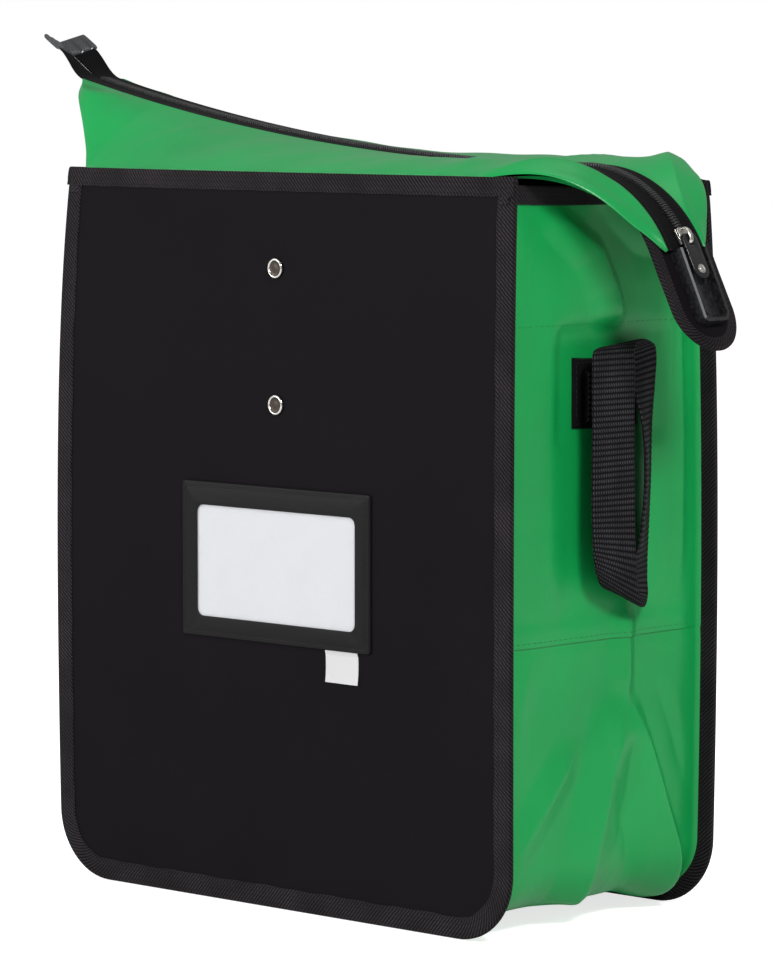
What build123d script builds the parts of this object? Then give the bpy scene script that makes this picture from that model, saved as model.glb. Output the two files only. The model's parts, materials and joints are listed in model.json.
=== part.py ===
from build123d import *
import math
import os

# ---------------------------------------------------------------------------
# Cash deposit bag. Millimetres, +Z up, the front panel faces -Y.
# The origin is on the floor, midway between the two panels and the two sides.
# ---------------------------------------------------------------------------

# Whole bag
WIDTH = 385.0                # across a panel, along X
DEPTH = 185.0                # from front face to back face, along Y
HEIGHT = 450.0               # from the floor to the rim
CORNER_RADIUS = 42.0         # lower corners of the panels
SEAM_HEIGHT = 180.0          # lap seam between the gusset base and its sides
SIDE_RIM_DROP = 4.0          # the rim sits lower over the gusset than over the panels

# Sheet goods
BINDING_THICKNESS = 0.8      # twill tape, one leg
BINDING_WIDTH = 13.0         # leg on the outer face
BINDING_BACK = 11.6          # leg on the gusset side
COVER_THICKNESS = 1.2        # black PVC-coated cover
GUSSET_THICKNESS = 1.0       # green PVC gusset
GUSSET_INSET = 12.0          # the gusset wall stands this far inside the panel's edge
BOARD_THICKNESS = 2.4        # stiffener board
LINING_THICKNESS = 0.6       # lining over the board
CLOSURE_THICKNESS = 0.6      # green PVC closure
RIM_HEIGHT = 12.0            # rim binding
RIM_LAP = 14.0               # closure sewn inside the rim over this height
FIT_GAP = 0.5                # slack round the inserted boards

# Zipped ridge: a long shallow sag, then the round droop of the right ear
RIDGE_X = 168.0              # where the sag meets the droop
RIDGE_Z = 455.0              # height of that point
SAG_RADIUS = 1771.0
DROOP_RADIUS = 88.0
DROOP_ANGLE = 63.0           # slope at the end of the droop, degrees
LEFT_END_X = -250.0          # left end of the closure
TAIL_RADIUS = 25.0           # the tape's free tail turns up on this radius
TAIL_TURN = 30.0             # degrees
TAIL_LENGTH = 12.0           # straight stretch of the tail

# Zipper
TAPE_EDGE = 16.5             # half width of both tapes
TAPE_SPLIT = 0.8             # half of the gap that the slider's post runs in
TAPE_HALF = 0.4              # half thickness of a tape
COIL_EDGE = 3.2              # half width of the meshed coils
COIL_HEIGHT = 2.0
COIL_END_ANGLE = 60.0        # the coils end inside the closed slider
TAIL_END_LENGTH = 11.0
TAIL_END_THICKNESS = 2.4
SLIDER_START = 54.5          # stretch of the droop that the closed slider covers, degrees
SLIDER_END = 62.5
SLIDER_HALF_WIDTH = 5.5
SLIDER_FLANGE = 4.4          # inner face of the side flanges
SLIDER_POST = 0.5            # half thickness of the post
SLIDER_TOP = 4.0
SLIDER_ROOF = 2.8            # underside of the top plate
SLIDER_LIP = 0.8             # gap between a flange or the bottom plate and the ridge line
SLIDER_BOTTOM = 2.0
CROWN_HALF_LENGTH = 4.6
CROWN_HALF_WIDTH = 1.1
CROWN_WALL = 2.0
CROWN_TOP = 8.0
CROWN_ROOF = 6.9
PULL_AXIS_HEIGHT = 5.3       # hinge of the puller above the ridge line
PULL_BAR_RADIUS = 0.9
PULL_LENGTH = 28.0
PULL_WIDTH = 13.0
PULL_THICKNESS = 1.6
PULL_SLOT = (7.5, 4.0)       # length and width of the slot round the crown
PULL_HEEL = 0.9              # plate behind the hinge
PIN_AT = 22.0                # locking pin from the hinge
PIN_RADIUS = 2.0
PIN_HEAD_RADIUS = 2.8
PIN_HEAD_HEIGHT = 1.0
PIN_DEPTH = 2.6              # pin below the plate's middle

# Lock tongue under the right ear, in the plane that ends the droop
TONGUE_START = 36.0          # droop angle where the tongue begins, degrees
TONGUE_HALF_WIDTH = 27.0
TONGUE_LENGTH = 63.0         # past the end of the droop
TONGUE_TOP = -2.6            # its upper face, below the ridge line
TONGUE_THICKNESS = 1.4
TONGUE_TAPE = 0.6            # binding on the tongue
TONGUE_TAPE_WIDTH = 8.0
HOUSING_START = 0.6
HOUSING_LENGTH = 46.4
HOUSING_HALF_WIDTH = 12.0
HOUSING_FLOOR = 1.4
HOUSING_RAIL = 2.2
HOUSING_RAIL_HEIGHT = 7.2    # above the floor
HOUSING_STOP = (2.4, 4.0)    # end wall, length and height
HOUSING_RADIUS = 4.0
BACKPLATE_START = 3.0
BACKPLATE_LENGTH = 42.0
BACKPLATE_HALF_WIDTH = 10.5
BACKPLATE_THICKNESS = 1.2
RIVET_PLACES = (12.0, 38.0)
HOUSING_RIVET_RADIUS = 1.6
HOUSING_RIVET_HEAD = 2.8
HOUSING_RIVET_HEIGHT = 0.8

# Ears and gores
EAR_TIP_HALF_WIDTH = 17.5
EAR_TIP_DROP = 0.6           # fold line below the ridge line at the tip
GORE_DEPTH = 6.5             # underside of the right gore below the ridge line
GORE_THICKNESS = 1.0
GORE_START = 7.0             # droop angle over the side rim, degrees
GORE_END = 60.0
GORE_HALF_WIDTH = 86.0
GORE_TIP_HALF_WIDTH = 13.0
GORE_TIP_DROP = 5.0          # left gore below the ridge at its tip

# Address pocket on the front panel
POCKET_SIZE = (160.0, 96.0)
POCKET_CENTRE = 211.0        # height of its middle
POCKET_THICKNESS = 1.9
POCKET_PLATE = 0.8           # the frame's front layer
WINDOW_SIZE = (135.0, 69.0)  # clear area
WINDOW_SHEET = (143.4, 84.0, 0.35)
SLOT_WIDTH = 144.0
SLOT_FOOT = 7.0              # sewn strip under the slot
CARD_SIZE = (140.0, 78.0, 0.4)
CARD_GAP = 0.15              # between the card and the panel
CARD_FOOT = 8.0              # card above the pocket's lower edge
LABEL_SIZE = (27.0, 19.5, 0.5)
LABEL_X = 55.5

# Rivets on the front panel's centre line
RIVET_HEIGHTS = {"upper_rivet": 392.0, "lower_rivet": 309.0}
RIVET_FLANGE = 6.0
RIVET_CUP = 4.0
RIVET_SHANK = 3.0
RIVET_PROUD = 1.0
RIVET_HOLE = 3.1
WASHER_THICKNESS = 0.6

# Webbing handles on the gusset
PATCH_SIZE = (60.0, 42.0, 1.2)
PATCH_CENTRE = 321.0
WEBBING_WIDTH = 42.0
WEBBING_THICKNESS = 2.2
ANCHOR_SIZE = (34.0, 4.0)    # height and thickness of the sewn ends
LOOP_TOP = 341.0             # hinge line
LOOP_FOOT = 195.0            # middle of the lower bend
LOOP_RADIUS = 7.0            # outer radius of both bends
LOOP_GAP = 0.2               # between the hanging loop and its anchor
REINFORCEMENT_SIZE = (68.0, 58.0, 1.2)

# Derived places
FRONT = -DEPTH / 2
COVER_FACE = FRONT + BINDING_THICKNESS
COVER_BACK = BINDING_THICKNESS + COVER_THICKNESS
FLANGE_BACK = COVER_BACK + GUSSET_THICKNESS
EDGE_STACK = FLANGE_BACK + BINDING_THICKNESS
WALL_OUTER = WIDTH / 2 - GUSSET_INSET
WALL_INNER = WALL_OUTER - GUSSET_THICKNESS
SIDE_TOP = HEIGHT - SIDE_RIM_DROP
INSERT_INSET = GUSSET_INSET + GUSSET_THICKNESS + FIT_GAP
INSERT_TOP = HEIGHT - RIM_LAP - FIT_GAP
BOARD_BACK = COVER_BACK + BOARD_THICKNESS
LINING_BACK = BOARD_BACK + LINING_THICKNESS
CLOSURE_Y = DEPTH / 2 - COVER_BACK
CLOSURE_HALF = WIDTH / 2 - INSERT_INSET
DROOP_AXIS = Axis((RIDGE_X, 0, RIDGE_Z - DROOP_RADIUS), (0, 1, 0))
TAPE_START_SLOPE = math.degrees(math.asin((RIDGE_X - LEFT_END_X) / SAG_RADIUS))


# ---------------------------------------------------------------------------
# Shared shapes
# ---------------------------------------------------------------------------
def span_box(x, y, z):
    """A box between two limits on each axis."""
    size = [high - low for low, high in (x, y, z)]
    middle = [(high + low) / 2 for low, high in (x, y, z)]
    return Pos(*middle) * Box(*size)


def panel_slab(inset, near, far, top=HEIGHT):
    """A slab of the panel's outline, between two depths behind the front face."""
    sheet = Pos(0, (inset + top) / 2) * Rectangle(WIDTH - 2 * inset, top - inset)
    lower = sheet.vertices().group_by(Axis.Y)[0]
    sheet = fillet(lower, CORNER_RADIUS - inset)
    solid = extrude(Plane.XZ * sheet, amount=far - near)
    return Pos(0, FRONT + far, 0) * solid


def to_back(shape):
    """The same shape on the back of the bag."""
    return mirror(shape, about=Plane.XZ)


def to_left(shape):
    """The same shape on the left side of the bag."""
    return mirror(shape, about=Plane.YZ)


def sag_point(x, lift=0.0):
    """A point on the sagging ridge at a given X."""
    angle = math.asin((RIDGE_X - x) / SAG_RADIUS)
    radius = SAG_RADIUS - lift
    return Vector(RIDGE_X - radius * math.sin(angle), 0, RIDGE_Z + SAG_RADIUS - radius * math.cos(angle))


def droop_point(angle, lift=0.0, y=0.0):
    """A point on the drooping ear, by its angle from the top of the droop."""
    turn = math.radians(angle)
    radius = DROOP_RADIUS + lift
    return Vector(
        RIDGE_X + radius * math.sin(turn), y, RIDGE_Z - DROOP_RADIUS + radius * math.cos(turn)
    )


def droop_plane(angle):
    """The ridge's own plane there: X along the ridge, Y across the bag, Z outwards."""
    turn = math.radians(angle)
    along = (math.cos(turn), 0, -math.sin(turn))
    return Plane(origin=droop_point(angle), x_dir=along, z_dir=(math.sin(turn), 0, math.cos(turn)))


TONGUE_PLANE = droop_plane(DROOP_ANGLE)


def droop_band(across, lift, start, end):
    """A band that follows the droop, with a rectangular section."""
    frame = droop_plane(start)
    section_plane = Plane(origin=frame.origin, x_dir=(0, 1, 0), z_dir=frame.x_dir)
    middle = Pos(sum(across) / 2, sum(lift) / 2)
    section = section_plane * middle * Rectangle(across[1] - across[0], lift[1] - lift[0])
    return revolve(section, DROOP_AXIS, end - start)


def ridge_path(end_angle, with_tail):
    """The ridge line from its left end, or from the tip of its tail, to an angle on the droop."""
    low = Vector(RIDGE_X, 0, RIDGE_Z)
    left = sag_point(LEFT_END_X)
    edges = [
        Edge.make_three_point_arc(left, sag_point((LEFT_END_X + RIDGE_X) / 2), low),
        Edge.make_three_point_arc(low, droop_point(end_angle / 2), droop_point(end_angle)),
    ]
    if with_tail:
        edges = tail_edges(left) + edges
    return Wire(edges)


def tail_edges(left):
    """The tail's straight tip and its upward turn, ending at the closure's left end."""
    centre = left + tail_normal(0) * TAIL_RADIUS
    turn_points = [centre - tail_normal(turn) * TAIL_RADIUS for turn in (TAIL_TURN, TAIL_TURN / 2, 0)]
    tip = turn_points[0] + tail_direction(TAIL_TURN) * TAIL_LENGTH
    return [Edge.make_line(tip, turn_points[0]), Edge.make_three_point_arc(*turn_points)]


def tail_direction(turn):
    """The direction out along the tail, after it has turned up by some degrees."""
    slope = math.radians(TAPE_START_SLOPE + turn)
    return Vector(-math.cos(slope), 0, math.sin(slope))


def tail_normal(turn):
    """The tail's upward normal, after it has turned up by some degrees."""
    slope = math.radians(TAPE_START_SLOPE + turn)
    return Vector(math.sin(slope), 0, math.cos(slope))


def ridge_strip(across, lift, end_angle, with_tail):
    """A strip of rectangular section swept along the ridge."""
    path = ridge_path(end_angle, with_tail)
    start = Plane(origin=path @ 0, x_dir=(0, 1, 0), z_dir=path % 0)
    middle = Pos(sum(across) / 2, sum(lift) / 2)
    section = start * middle * Rectangle(across[1] - across[0], lift[1] - lift[0])
    return sweep(section, path)


def station_loft(stations):
    """A ruled solid through closed outlines that have the same number of corners."""
    wires = [Wire.make_polygon(points, close=True) for points in stations]
    return Solid.make_loft(wires, ruled=True)


def between(start, end, share):
    """A value part of the way from start to end."""
    return start + (end - start) * share


# ---------------------------------------------------------------------------
# Panels, gusset and edging
# ---------------------------------------------------------------------------
def rivet_holes():
    """The two holes through the front panel's layers."""
    drill = Rot(90, 0, 0) * Cylinder(RIVET_HOLE, 40)
    return [Pos(0, FRONT, height) * drill for height in RIVET_HEIGHTS.values()]


def panel_cover():
    """The black sheet of a panel, held at its edge by the bindings."""
    return panel_slab(BINDING_THICKNESS, BINDING_THICKNESS, COVER_BACK, HEIGHT - BINDING_THICKNESS)


def panel_board():
    """The stiffener board behind a cover."""
    return panel_slab(INSERT_INSET, COVER_BACK, BOARD_BACK, INSERT_TOP)


def panel_lining():
    """The lining over a board."""
    return panel_slab(INSERT_INSET, BOARD_BACK, LINING_BACK, INSERT_TOP)


def edge_binding():
    """Tape folded over the edge of the front cover and the gusset's flange."""
    above = HEIGHT + 1
    tape = panel_slab(0, 0, EDGE_STACK)
    tape -= panel_slab(BINDING_THICKNESS, BINDING_THICKNESS, FLANGE_BACK, above)
    tape -= panel_slab(BINDING_WIDTH, -1, BINDING_THICKNESS, above)
    tape -= panel_slab(BINDING_BACK, FLANGE_BACK, EDGE_STACK + 1, above)
    return tape


def gusset_base():
    """The gusset's lower length: bottom, both corners and the sides up to the seam."""
    wall = panel_slab(GUSSET_INSET, COVER_BACK, DEPTH - COVER_BACK)
    flange = panel_slab(BINDING_THICKNESS, COVER_BACK, FLANGE_BACK)
    hollow = panel_slab(GUSSET_INSET + GUSSET_THICKNESS, -1, DEPTH + 1, HEIGHT + 1)
    keep = span_box((-WIDTH, WIDTH), (-DEPTH, DEPTH), (-1, SEAM_HEIGHT))
    return (wall + flange + to_back(flange) - hollow) & keep


def gusset_side():
    """The right side of the gusset above the seam, with its two sewn flanges."""
    side_top = SIDE_TOP - BINDING_THICKNESS
    wall = span_box((WALL_INNER, WALL_OUTER), (-CLOSURE_Y, CLOSURE_Y), (SEAM_HEIGHT, side_top))
    flange_y = (-CLOSURE_Y, -CLOSURE_Y + GUSSET_THICKNESS)
    flange = span_box((WALL_INNER, WIDTH / 2 - BINDING_THICKNESS), flange_y, (SEAM_HEIGHT, HEIGHT))
    return wall + flange + to_back(flange)


def rim_binding_panel():
    """Rim tape over the top of the front cover."""
    half = WIDTH / 2 - BINDING_WIDTH
    leg = span_box((-half, half), (FRONT, COVER_FACE), (HEIGHT - RIM_HEIGHT, HEIGHT))
    cap = span_box((-half, half), (COVER_FACE, -CLOSURE_Y), (HEIGHT - BINDING_THICKNESS, HEIGHT))
    return leg + cap


def rim_binding_side():
    """Rim tape over the top of the right gusset."""
    half = DEPTH / 2 - EDGE_STACK
    outer = WALL_OUTER + BINDING_THICKNESS
    leg = span_box((WALL_OUTER, outer), (-half, half), (SIDE_TOP - RIM_HEIGHT, SIDE_TOP))
    cap_z = (SIDE_TOP - BINDING_THICKNESS, SIDE_TOP)
    return leg + span_box((WALL_INNER, outer), (-half, half), cap_z)


# ---------------------------------------------------------------------------
# Closure
# ---------------------------------------------------------------------------
def closure_main_station(x):
    """Section of the front closure sheet at X: up inside the rim, then over to the zipper."""
    ridge = sag_point(x).Z
    foot = HEIGHT - RIM_LAP
    inner = -CLOSURE_Y + CLOSURE_THICKNESS
    return [
        Vector(x, -CLOSURE_Y, foot),
        Vector(x, -CLOSURE_Y, HEIGHT),
        Vector(x, -TAPE_EDGE, ridge + TAPE_HALF),
        Vector(x, -TAPE_EDGE, ridge + TAPE_HALF - CLOSURE_THICKNESS),
        Vector(x, inner, HEIGHT - CLOSURE_THICKNESS),
        Vector(x, inner, foot),
    ]


def right_ear_station(share):
    """Section of the front sheet on the drooping right ear."""
    angle = DROOP_ANGLE * share
    fold_y = -between(CLOSURE_Y, EAR_TIP_HALF_WIDTH, share)
    fold_lift = between(HEIGHT - RIDGE_Z, -EAR_TIP_DROP, share)
    return [
        droop_point(angle, TAPE_HALF, -TAPE_EDGE),
        droop_point(angle, TAPE_HALF - CLOSURE_THICKNESS, -TAPE_EDGE),
        droop_point(angle, fold_lift - CLOSURE_THICKNESS, fold_y),
        droop_point(angle, fold_lift, fold_y),
    ]


def left_ear_station(share):
    """Section of the front sheet on the standing left ear."""
    x = between(-CLOSURE_HALF, LEFT_END_X, share)
    ridge = sag_point(x).Z
    fold_y = -between(CLOSURE_Y, EAR_TIP_HALF_WIDTH, share)
    fold_z = between(HEIGHT, sag_point(LEFT_END_X).Z - EAR_TIP_DROP, share)
    return [
        Vector(x, -TAPE_EDGE, ridge + TAPE_HALF),
        Vector(x, -TAPE_EDGE, ridge + TAPE_HALF - CLOSURE_THICKNESS),
        Vector(x, fold_y, fold_z - CLOSURE_THICKNESS),
        Vector(x, fold_y, fold_z),
    ]


def closure_sheet():
    """The front closure sheet with both of its ears."""
    length = RIDGE_X + CLOSURE_HALF
    main = station_loft([closure_main_station(-CLOSURE_HALF + length * step / 4) for step in range(5)])
    right = station_loft([right_ear_station(step / 6) for step in range(7)])
    left = station_loft([left_ear_station(step / 2) for step in range(3)])
    return main + right + left


def right_gore_station(share):
    """Section of the flat gore folded under the right ear."""
    angle = between(GORE_START, GORE_END, share)
    half = between(GORE_HALF_WIDTH, GORE_TIP_HALF_WIDTH, share)
    corners = [(-half, 0), (half, 0), (half, GORE_THICKNESS), (-half, GORE_THICKNESS)]
    return [droop_point(angle, lift - GORE_DEPTH, y) for y, lift in corners]


def end_gore_right():
    """Right gore: a strip sewn inside the side rim, turned out under the ear."""
    leaf = station_loft([right_gore_station(step / 5) for step in range(6)])
    strip_x = (WALL_INNER - GORE_THICKNESS, WALL_INNER)
    strip_top = droop_point(GORE_START, GORE_THICKNESS / 2 - GORE_DEPTH).Z
    strip = span_box(strip_x, (-GORE_HALF_WIDTH, GORE_HALF_WIDTH), (SIDE_TOP - RIM_LAP, strip_top))
    return leaf + strip


def left_gore_station(x, half, foot):
    """Section of the gore folded under the left ear."""
    top = foot + GORE_THICKNESS
    return [Vector(x, -half, foot), Vector(x, half, foot), Vector(x, half, top), Vector(x, -half, top)]


def end_gore_left():
    """Left gore: a strip sewn inside the side rim, turned out under the standing ear."""
    root_x = -WALL_INNER + GORE_THICKNESS
    tip_foot = sag_point(LEFT_END_X).Z - GORE_TIP_DROP
    root = left_gore_station(root_x, GORE_HALF_WIDTH, SIDE_TOP + FIT_GAP)
    tip = left_gore_station(LEFT_END_X + FIT_GAP, GORE_TIP_HALF_WIDTH, tip_foot)
    strip_z = (SIDE_TOP - RIM_LAP, SIDE_TOP + FIT_GAP + GORE_THICKNESS)
    strip = span_box((-WALL_INNER, root_x), (-GORE_HALF_WIDTH, GORE_HALF_WIDTH), strip_z)
    return station_loft([root, tip]) + strip


def zipper_tape():
    """The front tape, from the tip of the tail to the end of the droop."""
    return ridge_strip((-TAPE_EDGE, -TAPE_SPLIT), (-TAPE_HALF, TAPE_HALF), DROOP_ANGLE, True)


def zipper_coil():
    """The front coil, in its outer shape."""
    lift = (TAPE_HALF, TAPE_HALF + COIL_HEIGHT)
    return ridge_strip((-COIL_EDGE, -TAPE_SPLIT), lift, COIL_END_ANGLE, False)


def zipper_tail_end():
    """The sealed clip over the tip of both tapes."""
    path = ridge_path(DROOP_ANGLE, True)
    frame = Plane(origin=path @ 0, x_dir=(0, 1, 0), z_dir=-(path % 0))
    clip = Box(2 * TAPE_EDGE + 1.5, TAIL_END_THICKNESS, TAIL_END_LENGTH)
    return frame * Pos(0, 0, TAIL_END_LENGTH / 2) * clip


# ---------------------------------------------------------------------------
# Slider, puller and lock tongue
# ---------------------------------------------------------------------------
SLIDER_MIDDLE = (SLIDER_START + SLIDER_END) / 2


def zip_slider():
    """Slider body on the droop, with the crown that carries the puller."""
    ends = (SLIDER_START, SLIDER_END)
    wide = (-SLIDER_HALF_WIDTH, SLIDER_HALF_WIDTH)
    body = droop_band(wide, (SLIDER_ROOF, SLIDER_TOP), *ends)
    body += droop_band(wide, (-SLIDER_BOTTOM, -SLIDER_LIP), *ends)
    body += droop_band((-SLIDER_POST, SLIDER_POST), (-SLIDER_LIP - 0.1, SLIDER_ROOF + 0.1), *ends)
    flange = droop_band((-SLIDER_HALF_WIDTH, -SLIDER_FLANGE), (SLIDER_LIP, SLIDER_ROOF + 0.1), *ends)
    body += flange + to_back(flange)
    crown_x = (-CROWN_HALF_LENGTH, CROWN_HALF_LENGTH)
    crown_y = (-CROWN_HALF_WIDTH, CROWN_HALF_WIDTH)
    crown = span_box(crown_x, crown_y, (SLIDER_TOP - 0.3, CROWN_TOP))
    eye = CROWN_HALF_LENGTH - CROWN_WALL
    crown -= span_box((-eye, eye), (-2, 2), (SLIDER_TOP, CROWN_ROOF))
    return body + droop_plane(SLIDER_MIDDLE) * crown


def pull_plane():
    """The puller's own plane: origin on its hinge, X along the plate, Z outwards."""
    hinge = droop_point(SLIDER_MIDDLE, PULL_AXIS_HEIGHT)
    return Plane(origin=hinge, x_dir=TONGUE_PLANE.x_dir, z_dir=TONGUE_PLANE.z_dir)


def zip_puller():
    """Flat puller, lying in the seal housing, slotted round the crown."""
    half = PULL_THICKNESS / 2
    plate_y = (-PULL_WIDTH / 2, PULL_WIDTH / 2)
    plate = span_box((-PULL_HEEL, PULL_LENGTH), plate_y, (-half, half))
    end_corners = plate.edges().filter_by(Axis.Z).group_by(Axis.X)[-1]
    plate = fillet(end_corners, 3.0)
    slot_length, slot_width = PULL_SLOT
    plate -= span_box((-PULL_HEEL - 1, slot_length - PULL_HEEL), (-slot_width / 2, slot_width / 2), (-2, 2))
    plate -= Pos(PIN_AT, 0, 0) * Cylinder(PIN_RADIUS, 4)
    bar = Rot(90, 0, 0) * Cylinder(PULL_BAR_RADIUS, slot_width + 0.4)
    return pull_plane() * (plate + bar)


def puller_pin():
    """Bright locking pin riveted through the puller."""
    half = PULL_THICKNESS / 2
    shank_length = PIN_DEPTH + half
    shank = Pos(0, 0, half - shank_length / 2) * Cylinder(PIN_RADIUS, shank_length)
    head = Pos(0, 0, half + PIN_HEAD_HEIGHT / 2) * Cylinder(PIN_HEAD_RADIUS, PIN_HEAD_HEIGHT)
    return pull_plane() * Pos(PIN_AT, 0, 0) * (shank + head)


def tongue_outline(grow):
    """The tongue's straight stretch with its round end, grown by a margin."""
    half = TONGUE_HALF_WIDTH + grow
    round_centre = TONGUE_LENGTH - TONGUE_HALF_WIDTH
    sheet = Pos(round_centre / 2, 0) * Rectangle(round_centre, 2 * half)
    return sheet + Pos(round_centre, 0) * Circle(half)


def tongue_slab(grow, low, high):
    """Tongue-shaped slab: along the end of the droop, then straight to the round end."""
    straight = extrude(tongue_outline(grow), amount=high - low)
    straight &= span_box((0, 2 * TONGUE_LENGTH), (-TONGUE_LENGTH, TONGUE_LENGTH), (-1, high - low + 1))
    half = TONGUE_HALF_WIDTH + grow
    bend = droop_band((-half, half), (low, high), TONGUE_START, DROOP_ANGLE)
    return TONGUE_PLANE * Pos(0, 0, low) * straight + bend


def lock_tongue():
    """The sheet of the tongue, drilled for the housing's rivets."""
    sheet = tongue_slab(0, TONGUE_TOP - TONGUE_THICKNESS, TONGUE_TOP)
    for place in RIVET_PLACES:
        sheet -= TONGUE_PLANE * Pos(place, 0, TONGUE_TOP) * Cylinder(HOUSING_RIVET_RADIUS, 8)
    return sheet


def tongue_binding():
    """Tape folded round the tongue's sides and end."""
    low = TONGUE_TOP - TONGUE_THICKNESS
    tape = tongue_slab(TONGUE_TAPE, low - TONGUE_TAPE, TONGUE_TOP + TONGUE_TAPE)
    tape -= tongue_slab(0, low, TONGUE_TOP)
    return tape - tongue_slab(-TONGUE_TAPE_WIDTH, low - 2, TONGUE_TOP + 2)


def seal_housing():
    """Open-topped lock housing: floor, two rails and an end stop."""
    x = (HOUSING_START, HOUSING_START + HOUSING_LENGTH)
    half = HOUSING_HALF_WIDTH
    floor_top = TONGUE_TOP + HOUSING_FLOOR
    block = span_box(x, (-half, half), (TONGUE_TOP, floor_top + HOUSING_RAIL_HEIGHT))
    end_corners = block.edges().filter_by(Axis.Z).group_by(Axis.X)[-1]
    block = fillet(end_corners, HOUSING_RADIUS)
    stop_length, stop_height = HOUSING_STOP
    channel = half - HOUSING_RAIL
    block -= span_box((-1, x[1] - stop_length), (-channel, channel), (floor_top, 20))
    block -= span_box((-1, x[1] + 1), (-channel, channel), (floor_top + stop_height, 20))
    for place in RIVET_PLACES:
        block -= Pos(place, 0, TONGUE_TOP) * Cylinder(HOUSING_RIVET_RADIUS, 8)
    return TONGUE_PLANE * block


def housing_backplate():
    """Plate that spreads the rivets' grip behind the tongue."""
    top = TONGUE_TOP - TONGUE_THICKNESS
    x = (BACKPLATE_START, BACKPLATE_START + BACKPLATE_LENGTH)
    half = BACKPLATE_HALF_WIDTH
    plate = span_box(x, (-half, half), (top - BACKPLATE_THICKNESS, top))
    plate = fillet(plate.edges().filter_by(Axis.Z), HOUSING_RADIUS)
    for place in RIVET_PLACES:
        plate -= Pos(place, 0, top) * Cylinder(HOUSING_RIVET_RADIUS, 8)
    return TONGUE_PLANE * plate


def housing_rivets():
    """Two rivets through the housing, the tongue and the backing plate."""
    top = TONGUE_TOP + HOUSING_FLOOR
    bottom = TONGUE_TOP - TONGUE_THICKNESS - BACKPLATE_THICKNESS
    shank = Pos(0, 0, (top + bottom) / 2) * Cylinder(HOUSING_RIVET_RADIUS, top - bottom)
    head = Cylinder(HOUSING_RIVET_HEAD, HOUSING_RIVET_HEIGHT)
    rivet = shank + Pos(0, 0, top + HOUSING_RIVET_HEIGHT / 2) * head
    rivet += Pos(0, 0, bottom - HOUSING_RIVET_HEIGHT / 2) * head
    return Compound([TONGUE_PLANE * Pos(place, 0, 0) * rivet for place in RIVET_PLACES])


# ---------------------------------------------------------------------------
# Front panel fittings
# ---------------------------------------------------------------------------
def pocket_frame():
    """Frame of the address pocket: sewn on three sides, open at the top."""
    width, height = POCKET_SIZE
    foot = POCKET_CENTRE - height / 2
    face = COVER_FACE - POCKET_THICKNESS
    frame = span_box((-width / 2, width / 2), (face, COVER_FACE), (foot, foot + height))
    slot_z = (foot + SLOT_FOOT, foot + height + 1)
    frame -= span_box((-SLOT_WIDTH / 2, SLOT_WIDTH / 2), (face + POCKET_PLATE, COVER_FACE + 1), slot_z)
    opening = Pos(0, face, POCKET_CENTRE) * Box(WINDOW_SIZE[0], 8, WINDOW_SIZE[1])
    return frame - opening


def pocket_window():
    """Clear sheet behind the frame's opening."""
    width, height, thickness = WINDOW_SHEET
    back = COVER_FACE - POCKET_THICKNESS + POCKET_PLATE
    foot = POCKET_CENTRE - POCKET_SIZE[1] / 2 + SLOT_FOOT
    return span_box((-width / 2, width / 2), (back, back + thickness), (foot, foot + height))


def address_card():
    """Card that slides up out of the pocket."""
    width, height, thickness = CARD_SIZE
    back = COVER_FACE - CARD_GAP
    foot = POCKET_CENTRE - POCKET_SIZE[1] / 2 + CARD_FOOT
    return span_box((-width / 2, width / 2), (back - thickness, back), (foot, foot + height))


def sewn_label():
    """Small blank label sewn under the pocket's corner."""
    width, height, thickness = LABEL_SIZE
    top = POCKET_CENTRE - POCKET_SIZE[1] / 2
    x = (LABEL_X - width / 2, LABEL_X + width / 2)
    return span_box(x, (COVER_FACE - thickness, COVER_FACE), (top - height, top))


def panel_rivet(height):
    """Hollow-headed rivet: a rolled flange round a sunk cup, and a shank through the panel."""
    lining_face = FRONT + LINING_BACK
    proud = COVER_FACE - RIVET_PROUD
    rivet = disc_along_y(RIVET_FLANGE, proud, COVER_FACE)
    rivet -= disc_along_y(RIVET_CUP, proud - 1, COVER_FACE - 0.3)
    rivet += disc_along_y(RIVET_SHANK, COVER_FACE - 0.1, lining_face + WASHER_THICKNESS)
    return Pos(0, 0, height) * rivet


def rivet_washers():
    """One washer on each rivet, inside the bag."""
    face = FRONT + LINING_BACK
    washer = disc_along_y(RIVET_FLANGE, face, face + WASHER_THICKNESS)
    washer -= disc_along_y(RIVET_SHANK, face - 1, face + 2)
    return Compound([Pos(0, 0, height) * washer for height in RIVET_HEIGHTS.values()])


def disc_along_y(radius, near, far):
    """A disc between two Y planes."""
    return Pos(0, (near + far) / 2, 0) * Rot(90, 0, 0) * Cylinder(radius, far - near)


# ---------------------------------------------------------------------------
# Handles
# ---------------------------------------------------------------------------
def side_plate(size, face, centre):
    """A plate on the gusset, from a face outwards: size is across, up and thick."""
    across, up, thick = size
    return span_box((face, face + thick), (-across / 2, across / 2), (centre - up / 2, centre + up / 2))


def handle_patch():
    """Patch under the webbing's sewn ends."""
    patch = side_plate(PATCH_SIZE, WALL_OUTER, PATCH_CENTRE)
    return fillet(patch.edges().filter_by(Axis.X), 3.0)


def handle_reinforcement():
    """Backing sheet inside the gusset."""
    return side_plate(REINFORCEMENT_SIZE, WALL_INNER - REINFORCEMENT_SIZE[2], PATCH_CENTRE)


def handle_anchor():
    """Both ends of the webbing, sewn down on the patch."""
    height, thickness = ANCHOR_SIZE
    return side_plate((WEBBING_WIDTH, height, thickness), WALL_OUTER + PATCH_SIZE[2], PATCH_CENTRE)


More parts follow.
